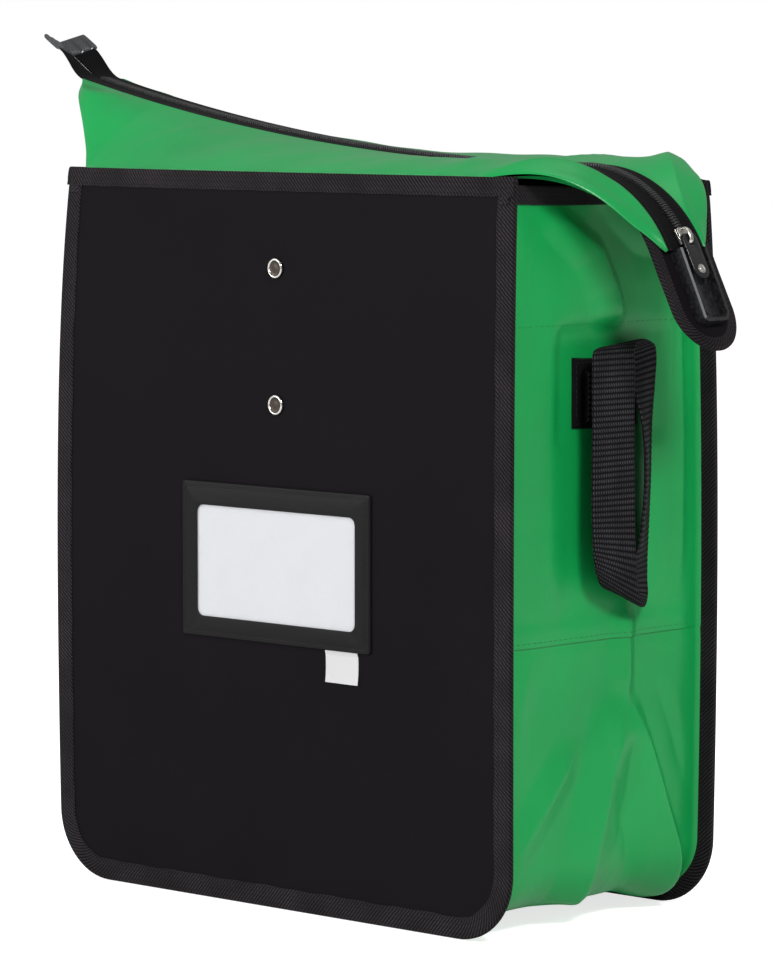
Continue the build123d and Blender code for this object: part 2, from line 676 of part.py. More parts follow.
def handle_loop():
    """The hanging loop of webbing, with both bends round."""
    anchor_face = WALL_OUTER + PATCH_SIZE[2] + ANCHOR_SIZE[1]
    middle_x = anchor_face + LOOP_GAP + LOOP_RADIUS
    span = LOOP_TOP - LOOP_FOOT
    centre = Pos(middle_x, (LOOP_TOP + LOOP_FOOT) / 2)
    outer = centre * Rot(0, 0, 90) * SlotCenterToCenter(span, 2 * LOOP_RADIUS)
    inner = centre * Rot(0, 0, 90) * SlotCenterToCenter(span, 2 * (LOOP_RADIUS - WEBBING_THICKNESS))
    loop = extrude(Plane.XZ * (outer - inner), amount=WEBBING_WIDTH)
    return Pos(0, WEBBING_WIDTH / 2, 0) * loop


# ---------------------------------------------------------------------------
# Every node, by name
# ---------------------------------------------------------------------------
def build_nodes():
    """All the pieces, each under its node's name."""
    nodes = {}
    front_cover = panel_cover()
    front_board = panel_board()
    front_lining = panel_lining()
    nodes["back_panel"] = to_back(front_cover)
    nodes["back_stiffener"] = to_back(front_board)
    nodes["back_lining"] = to_back(front_lining)
    for hole in rivet_holes():
        front_cover -= hole
        front_board -= hole
        front_lining -= hole
    nodes["front_panel"] = front_cover
    nodes["front_stiffener"] = front_board
    nodes["front_lining"] = front_lining

    nodes["gusset_base"] = gusset_base()
    nodes["gusset_right"] = gusset_side()
    nodes["gusset_left"] = to_left(nodes["gusset_right"])
    nodes["front_edge_binding"] = edge_binding()
    nodes["back_edge_binding"] = to_back(nodes["front_edge_binding"])
    nodes["rim_binding_front"] = rim_binding_panel()
    nodes["rim_binding_back"] = to_back(nodes["rim_binding_front"])
    nodes["rim_binding_right"] = rim_binding_side()
    nodes["rim_binding_left"] = to_left(nodes["rim_binding_right"])

    nodes["closure_front"] = closure_sheet()
    nodes["closure_back"] = to_back(nodes["closure_front"])
    nodes["end_gore_right"] = end_gore_right()
    nodes["end_gore_left"] = end_gore_left()
    nodes["zipper_tape_front"] = zipper_tape()
    nodes["zipper_tape_back"] = to_back(nodes["zipper_tape_front"])
    nodes["zipper_coil_front"] = zipper_coil()
    nodes["zipper_coil_back"] = to_back(nodes["zipper_coil_front"])
    nodes["zipper_tail_end"] = zipper_tail_end()

    nodes["zip_slider"] = zip_slider()
    nodes["zip_puller"] = zip_puller()
    nodes["puller_pin"] = puller_pin()
    nodes["lock_tongue"] = lock_tongue()
    nodes["tongue_binding"] = tongue_binding()
    nodes["seal_housing"] = seal_housing()
    nodes["housing_backplate"] = housing_backplate()
    nodes["housing_rivets"] = housing_rivets()

    nodes["pocket_frame"] = pocket_frame()
    nodes["pocket_window"] = pocket_window()
    nodes["address_card"] = address_card()
    nodes["sewn_label"] = sewn_label()
    for name, height in RIVET_HEIGHTS.items():
        nodes[name] = panel_rivet(height)
    nodes["rivet_washers"] = rivet_washers()

    handle = {
        "patch": handle_patch(),
        "reinforcement": handle_reinforcement(),
        "anchor": handle_anchor(),
        "loop": handle_loop(),
    }
    for piece, shape in handle.items():
        nodes[f"handle_right_{piece}"] = shape
        nodes[f"handle_left_{piece}"] = to_left(shape)
    return nodes


def main():
    """Build every node and write it to its own STEP file."""
    os.makedirs("parts", exist_ok=True)
    for name, shape in build_nodes().items():
        export_step(shape, f"parts/{name}.step")


if __name__ == "__main__":
    main()
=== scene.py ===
"""Cash deposit bag: the visible pieces, their finishes, the studio and the camera.

Sizes inside this file are millimetres in the bag's own frame: origin on the floor in the
middle, front panel towards -Y, lock tongue towards +X, +Z up. Meshes are made in metres.
"""

import contextlib  # noqa: E402
import json  # noqa: E402
import logging  # noqa: E402
import math  # noqa: E402
from dataclasses import dataclass  # noqa: E402
from enum import Enum  # noqa: E402
from typing import Callable, Iterator, Sequence  # noqa: E402

import bmesh  # noqa: E402
import bpy  # noqa: E402
import numpy as np  # noqa: E402
from mathutils import Matrix, Vector  # noqa: E402

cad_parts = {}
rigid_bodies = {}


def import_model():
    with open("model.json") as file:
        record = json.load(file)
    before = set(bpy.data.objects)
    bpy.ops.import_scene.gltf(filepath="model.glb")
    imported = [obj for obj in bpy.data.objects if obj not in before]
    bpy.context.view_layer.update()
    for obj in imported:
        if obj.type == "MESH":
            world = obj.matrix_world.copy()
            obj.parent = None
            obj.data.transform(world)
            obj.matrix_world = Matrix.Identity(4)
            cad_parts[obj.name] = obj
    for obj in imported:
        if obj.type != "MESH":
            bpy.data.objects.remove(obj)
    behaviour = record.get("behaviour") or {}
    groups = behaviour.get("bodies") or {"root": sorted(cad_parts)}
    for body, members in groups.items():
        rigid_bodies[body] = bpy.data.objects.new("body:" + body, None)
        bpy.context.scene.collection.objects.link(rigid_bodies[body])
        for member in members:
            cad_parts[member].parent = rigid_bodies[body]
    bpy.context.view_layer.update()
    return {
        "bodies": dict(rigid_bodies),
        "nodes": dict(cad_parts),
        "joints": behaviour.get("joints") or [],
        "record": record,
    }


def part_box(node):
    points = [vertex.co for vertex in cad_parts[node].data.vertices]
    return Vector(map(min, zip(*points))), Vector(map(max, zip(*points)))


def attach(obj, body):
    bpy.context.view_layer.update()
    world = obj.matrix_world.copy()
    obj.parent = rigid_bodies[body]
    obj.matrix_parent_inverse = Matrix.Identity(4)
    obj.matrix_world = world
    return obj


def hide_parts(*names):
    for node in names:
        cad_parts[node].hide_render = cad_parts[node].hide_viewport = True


LOG = logging.getLogger("deposit_bag")
MM = 0.001
Point = tuple[float, float, float]
Colour = tuple[float, float, float]


class Slot(Enum):
    """Material slots of the record."""

    BLACK_COVER = "black_cover"
    TWILL_TAPE = "twill_tape"
    GREEN_PVC = "green_pvc"
    WEBBING = "webbing"
    ZIP_TAPE = "zip_tape"
    ZIP_COIL = "zip_coil"
    NICKEL = "nickel"
    LOCK_PLASTIC = "lock_plastic"
    POCKET_VINYL = "pocket_vinyl"
    CLEAR_VINYL = "clear_vinyl"
    CARD = "card"
    LABEL_TAPE = "label_tape"
    BOARD = "board"
    LINING = "lining"
    SEAL_GREY = "seal_grey"


class Side(Enum):
    """Which way a mirrored piece faces."""

    PLUS = 1
    MINUS = -1


class Element(Enum):
    """What an edit picks."""

    FACE = "FACE"
    EDGE = "EDGE"


# ---------------------------------------------------------------------------
# Shader building blocks
# ---------------------------------------------------------------------------
class Tree:
    """A thin wrapper that adds nodes and links to one node tree."""

    def __init__(self, tree: bpy.types.NodeTree) -> None:
        """Args: tree: the node tree to fill."""
        self.tree = tree

    def add(self, kind: str, inputs: dict | None = None, **options) -> bpy.types.Node:
        """Adds a node.

        Args:
            kind: the node's type name.
            inputs: values, or output sockets to link, by input name or index.
            options: properties of the node.

        Returns:
            The new node.
        """
        node = self.tree.nodes.new(kind)
        for name, value in options.items():
            setattr(node, name, value)
        for key, value in (inputs or {}).items():
            if isinstance(value, bpy.types.NodeSocket):
                self.tree.links.new(value, node.inputs[key])
            else:
                node.inputs[key].default_value = value
        return node

    def math(self, operation: str, *values: object) -> bpy.types.NodeSocket:
        """Adds a Math node and returns its output socket."""
        node = self.add("ShaderNodeMath", dict(enumerate(values)), operation=operation)
        return node.outputs[0]

    def mix(self, factor: object, low: object, high: object) -> bpy.types.NodeSocket:
        """Adds a colour Mix node and returns its colour output."""
        node = self.add("ShaderNodeMix", data_type="RGBA")
        for index, value in ((0, factor), (6, low), (7, high)):
            if isinstance(value, bpy.types.NodeSocket):
                self.tree.links.new(value, node.inputs[index])
            else:
                node.inputs[index].default_value = value
        return node.outputs[2]

    def stretch(self, value: object, low: float, high: float, to_low: float, to_high: float) -> bpy.types.NodeSocket:
        """Adds a clamped Map Range node and returns its result."""
        node = self.add(
            "ShaderNodeMapRange",
            {0: value, 1: low, 2: high, 3: to_low, 4: to_high},
        )
        return node.outputs[0]


class Effect:
    """A shader node group with named inputs and outputs, built once and shared."""

    name = "effect"
    inputs: dict[str, object] = {}
    outputs: tuple[str, ...] = ()

    def group(self) -> bpy.types.NodeTree:
        """Returns the node group, building it the first time it is asked for."""
        found = bpy.data.node_groups.get(self.name)
        if found is not None:
            return found
        group = bpy.data.node_groups.new(self.name, "ShaderNodeTree")
        for label, value in self.inputs.items():
            vector = value is None
            kind = "NodeSocketVector" if vector else "NodeSocketFloat"
            socket = group.interface.new_socket(label, in_out="INPUT", socket_type=kind)
            if not vector:
                socket.default_value = value
        for label in self.outputs:
            group.interface.new_socket(label, in_out="OUTPUT", socket_type="NodeSocketFloat")
        tree = Tree(group)
        source = tree.add("NodeGroupInput")
        target = tree.add("NodeGroupOutput")
        for label, socket in self.wire(tree, source).items():
            group.links.new(socket, target.inputs[label])
        return group

    def wire(self, tree: Tree, source: bpy.types.Node) -> dict[str, bpy.types.NodeSocket]:
        """Fills the group.

        Args:
            tree: the group's tree.
            source: its Group Input node.

        Returns:
            The socket that feeds each output, by name.
        """
        raise NotImplementedError

    def place(self, tree: Tree, **inputs: object) -> bpy.types.Node:
        """Adds the group to a material.

        Args:
            tree: the material's tree.
            inputs: values or sockets for the group's inputs, with _ for a space.

        Returns:
            The group node.
        """
        node = tree.add("ShaderNodeGroup", node_tree=self.group())
        for label, value in inputs.items():
            socket = node.inputs[label.replace("_", " ")]
            if isinstance(value, bpy.types.NodeSocket):
                tree.tree.links.new(value, socket)
            else:
                socket.default_value = value
        return node


class Ribs(Effect):
    """Parallel ribs, slanted or straight, broken up into threads."""

    name = "ribs_of_thread"
    inputs = {"Vector": None, "Pitch": 0.0013, "Slant": 0.0, "Thread": 0.001, "Break": 0.35}
    outputs = ("Height", "Rib")

    def wire(self, tree: Tree, source: bpy.types.Node) -> dict[str, bpy.types.NodeSocket]:
        """Fills the group; the arguments and result are those of Effect.wire."""
        parts = tree.add("ShaderNodeSeparateXYZ", {0: source.outputs["Vector"]})
        along, across = parts.outputs[0], parts.outputs[1]
        slanted = tree.math("ADD", along, tree.math("MULTIPLY", across, source.outputs["Slant"]))
        turn = tree.math("MULTIPLY", tree.math("DIVIDE", slanted, source.outputs["Pitch"]), math.pi)
        rib = tree.math("POWER", tree.math("ABSOLUTE", tree.math("SINE", turn)), 0.6)
        cross = tree.math("MULTIPLY", tree.math("DIVIDE", across, source.outputs["Thread"]), math.pi)
        thread = tree.math("ABSOLUTE", tree.math("SINE", cross))
        gap = tree.math("MULTIPLY", tree.math("SUBTRACT", 1.0, thread), source.outputs["Break"])
        height = tree.math("MULTIPLY", rib, tree.math("SUBTRACT", 1.0, gap))
        return {"Height": height, "Rib": rib}


class Grain(Effect):
    """Fine pebbled grain with a slow change of tone."""

    name = "pebbled_grain"
    inputs = {"Vector": None, "Scale": 900.0, "Patch": 14.0}
    outputs = ("Height", "Tone")

    def wire(self, tree: Tree, source: bpy.types.Node) -> dict[str, bpy.types.NodeSocket]:
        """Fills the group; the arguments and result are those of Effect.wire."""
        vector = source.outputs["Vector"]
        fine = tree.add("ShaderNodeTexNoise", {"Vector": vector, "Scale": source.outputs["Scale"], "Detail": 3.0})
        cells = tree.add("ShaderNodeTexVoronoi", {"Vector": vector, "Scale": source.outputs["Scale"]})
        slow = tree.add("ShaderNodeTexNoise", {"Vector": vector, "Scale": source.outputs["Patch"], "Detail": 4.0})
        height = tree.math("ADD", fine.outputs[0], tree.math("MULTIPLY", cells.outputs[0], 0.6))
        return {"Height": height, "Tone": slow.outputs[0]}


class EdgeWear(Effect):
    """A mask of rubbed edges: high where the surface turns sharply outwards."""

    name = "rubbed_edges"
    inputs = {"Vector": None, "Start": 0.52, "Full": 0.62, "Scale": 160.0}
    outputs = ("Mask",)

    def wire(self, tree: Tree, source: bpy.types.Node) -> dict[str, bpy.types.NodeSocket]:
        """Fills the group; the arguments and result are those of Effect.wire."""
        shape = tree.add("ShaderNodeNewGeometry")
        noise = tree.add("ShaderNodeTexNoise", {"Vector": source.outputs["Vector"], "Scale": source.outputs["Scale"]})
        sharp = tree.add(
            "ShaderNodeMapRange",
            {0: shape.outputs["Pointiness"], 1: source.outputs["Start"], 2: source.outputs["Full"]},
        )
        patchy = tree.stretch(noise.outputs[0], 0.42, 0.62, 0.0, 1.0)
        return {"Mask": tree.math("MULTIPLY", sharp.outputs[0], patchy)}


class Dust(Effect):
    """A faint mask of dust on what faces up, and of scuffs anywhere."""

    name = "settled_dust"
    inputs = {"Vector": None, "Amount": 0.1}
    outputs = ("Mask",)

    def wire(self, tree: Tree, source: bpy.types.Node) -> dict[str, bpy.types.NodeSocket]:
        """Fills the group; the arguments and result are those of Effect.wire."""
        shape = tree.add("ShaderNodeNewGeometry")
        up = tree.add("ShaderNodeSeparateXYZ", {0: shape.outputs["Normal"]})
        flat = tree.stretch(up.outputs[2], 0.2, 1.0, 0.15, 1.0)
        vector = source.outputs["Vector"]
        specks = tree.add("ShaderNodeTexNoise", {"Vector": vector, "Scale": 2200.0, "Detail": 2.0})
        patches = tree.add("ShaderNodeTexNoise", {"Vector": vector, "Scale": 9.0, "Detail": 5.0})
        dots = tree.stretch(specks.outputs[0], 0.6, 0.72, 0.0, 1.0)
        haze = tree.stretch(patches.outputs[0], 0.45, 0.75, 0.0, 0.8)
        both = tree.math("MULTIPLY", tree.math("ADD", dots, haze), flat)
        return {"Mask": tree.math("MULTIPLY", both, source.outputs["Amount"])}


RIBS = Ribs()
GRAIN = Grain()
EDGE_WEAR = EdgeWear()
DUST = Dust()


# ---------------------------------------------------------------------------
# Finishes
# ---------------------------------------------------------------------------
@dataclass(frozen=True)
class Finish:
    """What every finish has: a name, its slot, a base colour and a roughness."""

    name: str
    slot: Slot
    colour: Colour
    roughness: float = 0.5
    specular: float = 0.5

    def material(self) -> bpy.types.Material:
        """Returns the material, building it the first time it is asked for."""
        found = bpy.data.materials.get(self.name)
        if found is not None:
            return found
        material = bpy.data.materials.new(self.name)
        material.use_nodes = True
        tree = Tree(material.node_tree)
        shader = material.node_tree.nodes["Principled BSDF"]
        shader.inputs["Base Color"].default_value = (*self.colour, 1.0)
        shader.inputs["Roughness"].default_value = self.roughness
        shader.inputs["Specular IOR Level"].default_value = self.specular
        material.diffuse_color = (*self.colour, 1.0)
        self.dress(tree, shader)
        return material

    def dress(self, tree: Tree, shader: bpy.types.Node) -> None:
        """Adds the finish's own detail.

        Args:
            tree: the material's tree.
            shader: its Principled BSDF.
        """

    def place_of(self, tree: Tree, flat: bool = False) -> bpy.types.NodeSocket:
        """Returns the Object coordinates, or with flat the piece's own UV map in metres."""
        if flat:
            return tree.add("ShaderNodeUVMap", uv_map="UVMap").outputs[0]
        return tree.add("ShaderNodeTexCoord").outputs["Object"]

    def bump(self, tree: Tree, shader: bpy.types.Node, layers: Sequence[tuple[object, float, float]]) -> None:
        """Stacks bumps onto the shader's normal.

        Args:
            tree: the material's tree.
            shader: its Principled BSDF.
            layers: height socket, strength and depth in metres, from the broadest to the finest.
        """
        last = None
        for height, strength, depth in layers:
            node = tree.add("ShaderNodeBump", {"Strength": strength, "Distance": depth, "Height": height})
            if last is not None:
                tree.tree.links.new(last.outputs[0], node.inputs["Normal"])
            last = node
        tree.tree.links.new(last.outputs[0], shader.inputs["Normal"])

    def tint(self, scale: float) -> tuple[float, float, float, float]:
        """Returns the base colour made lighter or darker, as RGBA."""
        return (*(min(1.0, c * scale) for c in self.colour), 1.0)


@dataclass(frozen=True)
class CoatedSheet(Finish):
    """PVC-coated fabric: pebbled coating over a faint scrim, with soft waves and scuffs."""

    scrim: float = 0.25
    waves: float = 0.3
    haze: float = 0.1
    worn: Colour = (0.3, 0.45, 0.33)

    def dress(self, tree: Tree, shader: bpy.types.Node) -> None:
        """Adds grain, scrim, waves, dust and rubbed edges."""
        place = self.place_of(tree)
        flat = self.place_of(tree, flat=True)
        grain = GRAIN.place(tree, Vector=place, Scale=1500.0, Patch=11.0)
        weft = RIBS.place(tree, Vector=flat, Pitch=0.0011, Slant=0.0, Thread=0.0011, Break=0.6)
        broad = tree.add("ShaderNodeTexNoise", {"Vector": place, "Scale": 34.0, "Detail": 2.0})
        dust = DUST.place(tree, Vector=place, Amount=self.haze)
        wear = EDGE_WEAR.place(tree, Vector=place, Start=0.6, Full=0.8, Scale=90.0)
        tone = tree.stretch(grain.outputs["Tone"], 0.3, 0.7, 0.0, 1.0)
        body = tree.mix(tone, self.tint(0.9), self.tint(1.1))
        hazy = tree.mix(dust.outputs["Mask"], body, (*self.worn, 1.0))
        rubbed = tree.mix(tree.math("MULTIPLY", wear.outputs["Mask"], 0.2), hazy, (*self.worn, 1.0))
        tree.tree.links.new(rubbed, shader.inputs["Base Color"])
        rough = tree.stretch(grain.outputs["Tone"], 0.25, 0.75, self.roughness - 0.05, self.roughness + 0.07)
        dull = tree.math("ADD", rough, dust.outputs["Mask"])
        tree.tree.links.new(dull, shader.inputs["Roughness"])
        self.bump(
            tree,
            shader,
            (
                (broad.outputs[0], self.waves, 0.0012),
                (weft.outputs["Height"], self.scrim, 0.00012),
                (grain.outputs["Height"], 0.35, 0.00012),
            ),
        )


@dataclass(frozen=True)
class Woven(Finish):
    """Woven tape or webbing: ribs on the piece's own map, with a painted highlight on their crests and painted shade
    between them.
    """

    pitch: float = 0.0013
    slant: float = 0.0
    thread: float = 0.001
    # crest: how much lighter the rib crests are painted, a painted highlight; the valleys take 0.55 of the colour, a
    # painted shade
    crest: float = 3.0
    depth: float = 0.0003
    fuzz: float = 0.02
    broken: float = 0.4

    def dress(self, tree: Tree, shader: bpy.types.Node) -> None:
        """Adds the woven colour with a painted highlight on the rib crests and painted shade between them, its lint
        and the sheen of the threads.
        """
        flat = self.place_of(tree, flat=True)
        place = self.place_of(tree)
        ribs = RIBS.place(
            tree, Vector=flat, Pitch=self.pitch, Slant=self.slant, Thread=self.thread, Break=self.broken
        )
        lint = tree.add("ShaderNodeTexNoise", {"Vector": place, "Scale": 1700.0, "Detail": 4.0})
        slow = tree.add("ShaderNodeTexNoise", {"Vector": place, "Scale": 40.0, "Detail": 3.0})
        dust = DUST.place(tree, Vector=place, Amount=0.015)
        wear = EDGE_WEAR.place(tree, Vector=place, Start=0.55, Full=0.7, Scale=300.0)
        # Painted highlight on the rib crests and painted shade in the valleys between them
        crests = tree.math("POWER", ribs.outputs["Height"], 3.0)
        lit = tree.math("MULTIPLY", crests, tree.stretch(slow.outputs[0], 0.3, 0.7, 0.45, 1.0))
        weave_with_painted_light = tree.mix(lit, self.tint(0.55), self.tint(self.crest))
        dusty = tree.mix(dust.outputs["Mask"], weave_with_painted_light, (0.3, 0.3, 0.3, 1.0))
        worn = tree.mix(tree.math("MULTIPLY", wear.outputs["Mask"], 0.15), dusty, (0.12, 0.12, 0.12, 1.0))
        tree.tree.links.new(worn, shader.inputs["Base Color"])
        rough = tree.stretch(ribs.outputs["Rib"], 0.0, 1.0, 0.95, self.roughness)
        tree.tree.links.new(rough, shader.inputs["Roughness"])
        shader.inputs["Sheen Weight"].default_value = self.fuzz
        shader.inputs["Sheen Roughness"].default_value = 0.4
        self.bump(
            tree, shader, ((ribs.outputs["Height"], 0.9, self.depth), (lint.outputs[0], 0.4, 0.00015))
        )


@dataclass(frozen=True)
class Metal(Finish):
    """Plated metal with fine brushing, smears and brighter rubbed edges."""

    def dress(self, tree: Tree, shader: bpy.types.Node) -> None:
        """Adds brushing, smears and edge wear."""
        place = self.place_of(tree)
        grain = GRAIN.place(tree, Vector=place, Scale=2600.0, Patch=120.0)
        wear = EDGE_WEAR.place(tree, Vector=place)
        shader.inputs["Metallic"].default_value = 1.0
        tone = tree.mix(grain.outputs["Tone"], self.tint(0.75), self.tint(1.1))
        bright = tree.mix(tree.math("MULTIPLY", wear.outputs["Mask"], 0.6), tone, self.tint(1.35))
        tree.tree.links.new(bright, shader.inputs["Base Color"])
        rough = tree.stretch(grain.outputs["Tone"], 0.3, 0.7, self.roughness - 0.08, self.roughness + 0.12)
        tree.tree.links.new(rough, shader.inputs["Roughness"])
        self.bump(tree, shader, ((grain.outputs["Height"], 0.25, 0.00008),))


@dataclass(frozen=True)
class Moulded(Finish):
    """Moulded plastic: fine spark grain, scuffed edges and a trace of dust."""

    grain: float = 0.25
    worn: Colour = (0.09, 0.09, 0.095)

    def dress(self, tree: Tree, shader: bpy.types.Node) -> None:
        """Adds the moulding grain, scuffs and dust."""
        place = self.place_of(tree)
        grain = GRAIN.place(tree, Vector=place, Scale=2400.0, Patch=25.0)
        wear = EDGE_WEAR.place(tree, Vector=place, Start=0.53, Full=0.64, Scale=420.0)
        dust = DUST.place(tree, Vector=place, Amount=0.015)
        tone = tree.mix(grain.outputs["Tone"], self.tint(0.9), self.tint(1.12))
        dusty = tree.mix(dust.outputs["Mask"], tone, (0.3, 0.3, 0.3, 1.0))
        worn = tree.mix(tree.math("MULTIPLY", wear.outputs["Mask"], 0.12), dusty, (*self.worn, 1.0))
        tree.tree.links.new(worn, shader.inputs["Base Color"])
        rough = tree.stretch(grain.outputs["Tone"], 0.3, 0.7, self.roughness - 0.02, self.roughness + 0.03)
        tree.tree.links.new(rough, shader.inputs["Roughness"])
        self.bump(tree, shader, ((grain.outputs["Height"], self.grain, 0.00003),))


@dataclass(frozen=True)
class ClearFilm(Finish):
    """Clear soft vinyl: see-through, with slow ripples that break up its gloss."""

    opacity: float = 0.13

    def dress(self, tree: Tree, shader: bpy.types.Node) -> None:
        """Adds ripples, fine scratches and the film's faint haze."""
        place = self.place_of(tree)
        ripples = tree.add("ShaderNodeTexNoise", {"Vector": place, "Scale": 26.0, "Detail": 1.0})
        grain = GRAIN.place(tree, Vector=place, Scale=3000.0, Patch=60.0)
        haze = tree.stretch(grain.outputs["Tone"], 0.3, 0.7, self.opacity - 0.01, self.opacity + 0.01)
        tree.tree.links.new(haze, shader.inputs["Alpha"])
        self.bump(tree, shader, ((ripples.outputs[0], 0.5, 0.002), (grain.outputs["Height"], 0.1, 0.00005)))


@dataclass(frozen=True)
class Paper(Finish):
    """Card or woven label stock, with fibres and a faint change of tone."""

    def dress(self, tree: Tree, shader: bpy.types.Node) -> None:
        """Adds fibres and tone."""
        place = self.place_of(tree)
        grain = GRAIN.place(tree, Vector=place, Scale=1900.0, Patch=22.0)
        dust = DUST.place(tree, Vector=place, Amount=0.04)
        tone = tree.mix(grain.outputs["Tone"], self.tint(0.985), self.tint(1.01))
        dusty = tree.mix(dust.outputs["Mask"], tone, self.tint(0.9))
        tree.tree.links.new(dusty, shader.inputs["Base Color"])
        self.bump(tree, shader, ((grain.outputs["Height"], 0.3, 0.00012),))


GREEN_PVC = CoatedSheet("green_pvc_tarpaulin", Slot.GREEN_PVC, (0.004, 0.262, 0.058), 0.33, 0.36, 0.2, 0.35, 0.02, (0.1, 0.4, 0.18))
BLACK_COVER = CoatedSheet(
    "black_pvc_cover", Slot.BLACK_COVER, (0.0062, 0.0052, 0.0065), 0.5, 0.025, 0.12, 0.1, 0.008, (0.12, 0.12, 0.12)
)
LINING = CoatedSheet("lining_sheet", Slot.LINING, (0.02, 0.02, 0.022), 0.6, 0.3, 0.4, 0.1, 0.03, (0.12, 0.12, 0.12))
# The crest factors of the woven finishes below (7.5, 14.0, 2.0, 1.3) paint a highlight on their rib crests
TWILL = Woven("twill_binding", Slot.TWILL_TAPE, (0.0042, 0.0034, 0.004), 0.7, 0.08, 0.0026, 0.9, 0.0031, 7.5, 0.0006, 0.02, 0.12)
WEBBING = Woven(
    "ribbed_webbing", Slot.WEBBING, (0.0042, 0.004, 0.0046), 0.65, 0.08, 0.0034, 0.0, 0.0021, 14.0, 0.0006, 0.01, 0.8
)
ZIP_TAPE = Woven("zip_tape_weave", Slot.ZIP_TAPE, (0.0042, 0.0038, 0.0044), 0.75, 0.06, 0.0009, 0.0, 0.0009, 2.0, 0.0002)
THREAD = Woven("black_thread", Slot.TWILL_TAPE, (0.009, 0.008, 0.009), 0.5, 0.2, 0.0005, 1.0, 0.0004, 2.0, 0.0001)
GREEN_THREAD = Woven("green_thread", Slot.GREEN_PVC, (0.008, 0.25, 0.055), 0.5, 0.4, 0.0005, 1.0, 0.0004, 1.3, 0.0001)
COIL = Moulded("zip_coil_nylon", Slot.ZIP_COIL, (0.012, 0.012, 0.013), 0.32, 0.5, 0.1)
NICKEL = Metal("nickel_plate", Slot.NICKEL, (0.68, 0.66, 0.62), 0.24)
# Dark brown metal for the rivet cups: painted shade inside the rivets' hollows
RIVET_CUP_PAINTED_SHADE = Metal("rivet_cup_painted_shade", Slot.NICKEL, (0.06, 0.05, 0.043), 0.42)
LOCK_PLASTIC = Moulded("lock_housing_plastic", Slot.LOCK_PLASTIC, (0.008, 0.008, 0.009), 0.24, 0.5, 0.06)
# Light grey stand-in for light on the black lock housing: a painted highlight on its left rail and its floor
LOCK_PAINTED_HIGHLIGHT = Moulded("lock_painted_highlight_plastic", Slot.LOCK_PLASTIC, (0.13, 0.135, 0.145), 0.32, 0.5, 0.06)
POCKET_VINYL = CoatedSheet(
    "pocket_vinyl_sheet", Slot.POCKET_VINYL, (0.005, 0.0044, 0.0048), 0.45, 0.12, 0.5, 0.25, 0.01, (0.1, 0.1, 0.1)
)
CLEAR_VINYL = ClearFilm("clear_vinyl_film", Slot.CLEAR_VINYL, (0.6, 0.61, 0.63), 0.22, 0.4)
CARD = Paper("address_card_stock", Slot.CARD, (0.6, 0.605, 0.63), 0.7, 0.2)
LABEL = Paper("label_satin", Slot.LABEL_TAPE, (0.52, 0.515, 0.52), 0.6, 0.2)
BOARD = Moulded("stiffener_board", Slot.BOARD, (0.03, 0.03, 0.032), 0.6, 0.3)
SEAL_GREY = Moulded("sealed_tail_grey", Slot.SEAL_GREY, (0.028, 0.03, 0.033), 0.26, 0.6, 0.1, (0.2, 0.2, 0.2))


# ---------------------------------------------------------------------------
# The bag's own geometry
# ---------------------------------------------------------------------------
@dataclass(frozen=True)
class BagSizes:
    """Sizes that several pieces share, in millimetres."""

    width: float = 385.0
    depth: float = 185.0
    height: float = 450.0
    corner: float = 42.0
    seam: float = 180.0
    rim_drop: float = 4.0
    inset: float = 12.0
    cover_face: float = 0.8
    cover_back: float = 2.0
    stack: float = 3.8
    ridge_x: float = 168.0
    ridge_z: float = 455.0
    sag: float = 1771.0
    droop: float = 88.0
    droop_angle: float = math.radians(63.0)
    left_end: float = -250.0
    tail_radius: float = 25.0
    tail_turn: float = math.radians(30.0)
    tail_length: float = 12.0
    tape_edge: float = 16.5

    @property
    def wall(self) -> float:
        """Outer face of the gusset's side walls, from the middle."""
        return self.width / 2 - self.inset

    @property
    def sag_length(self) -> float:
        """Length of the sagging part of the ridge."""
        return self.sag * self.left_slope

    @property
    def left_slope(self) -> float:
        """Slope of the ridge at its left end, in radians."""
        return math.asin((self.ridge_x - self.left_end) / self.sag)

    @property
    def droop_length(self) -> float:
        """Length of the drooping part of the ridge."""
        return self.droop * self.droop_angle

    @property
    def ridge_length(self) -> float:
        """Length of the ridge from its left end to the end of the droop."""
        return self.sag_length + self.droop_length

    @property
    def tongue_matrix(self) -> Matrix:
        """The plane past the droop's end: X along the tongue, Y across, Z outwards, in metres."""
        end = ridge(self.ridge_length, 0.0, 0.0) * MM
        along = Vector((math.cos(self.droop_angle), 0, -math.sin(self.droop_angle)))
        out = Vector((math.sin(self.droop_angle), 0, math.cos(self.droop_angle)))
        turn = Matrix((along, Vector((0, 1, 0)), out)).transposed().to_4x4()
        return Matrix.Translation(Vector(end)) @ turn


BAG = BagSizes()


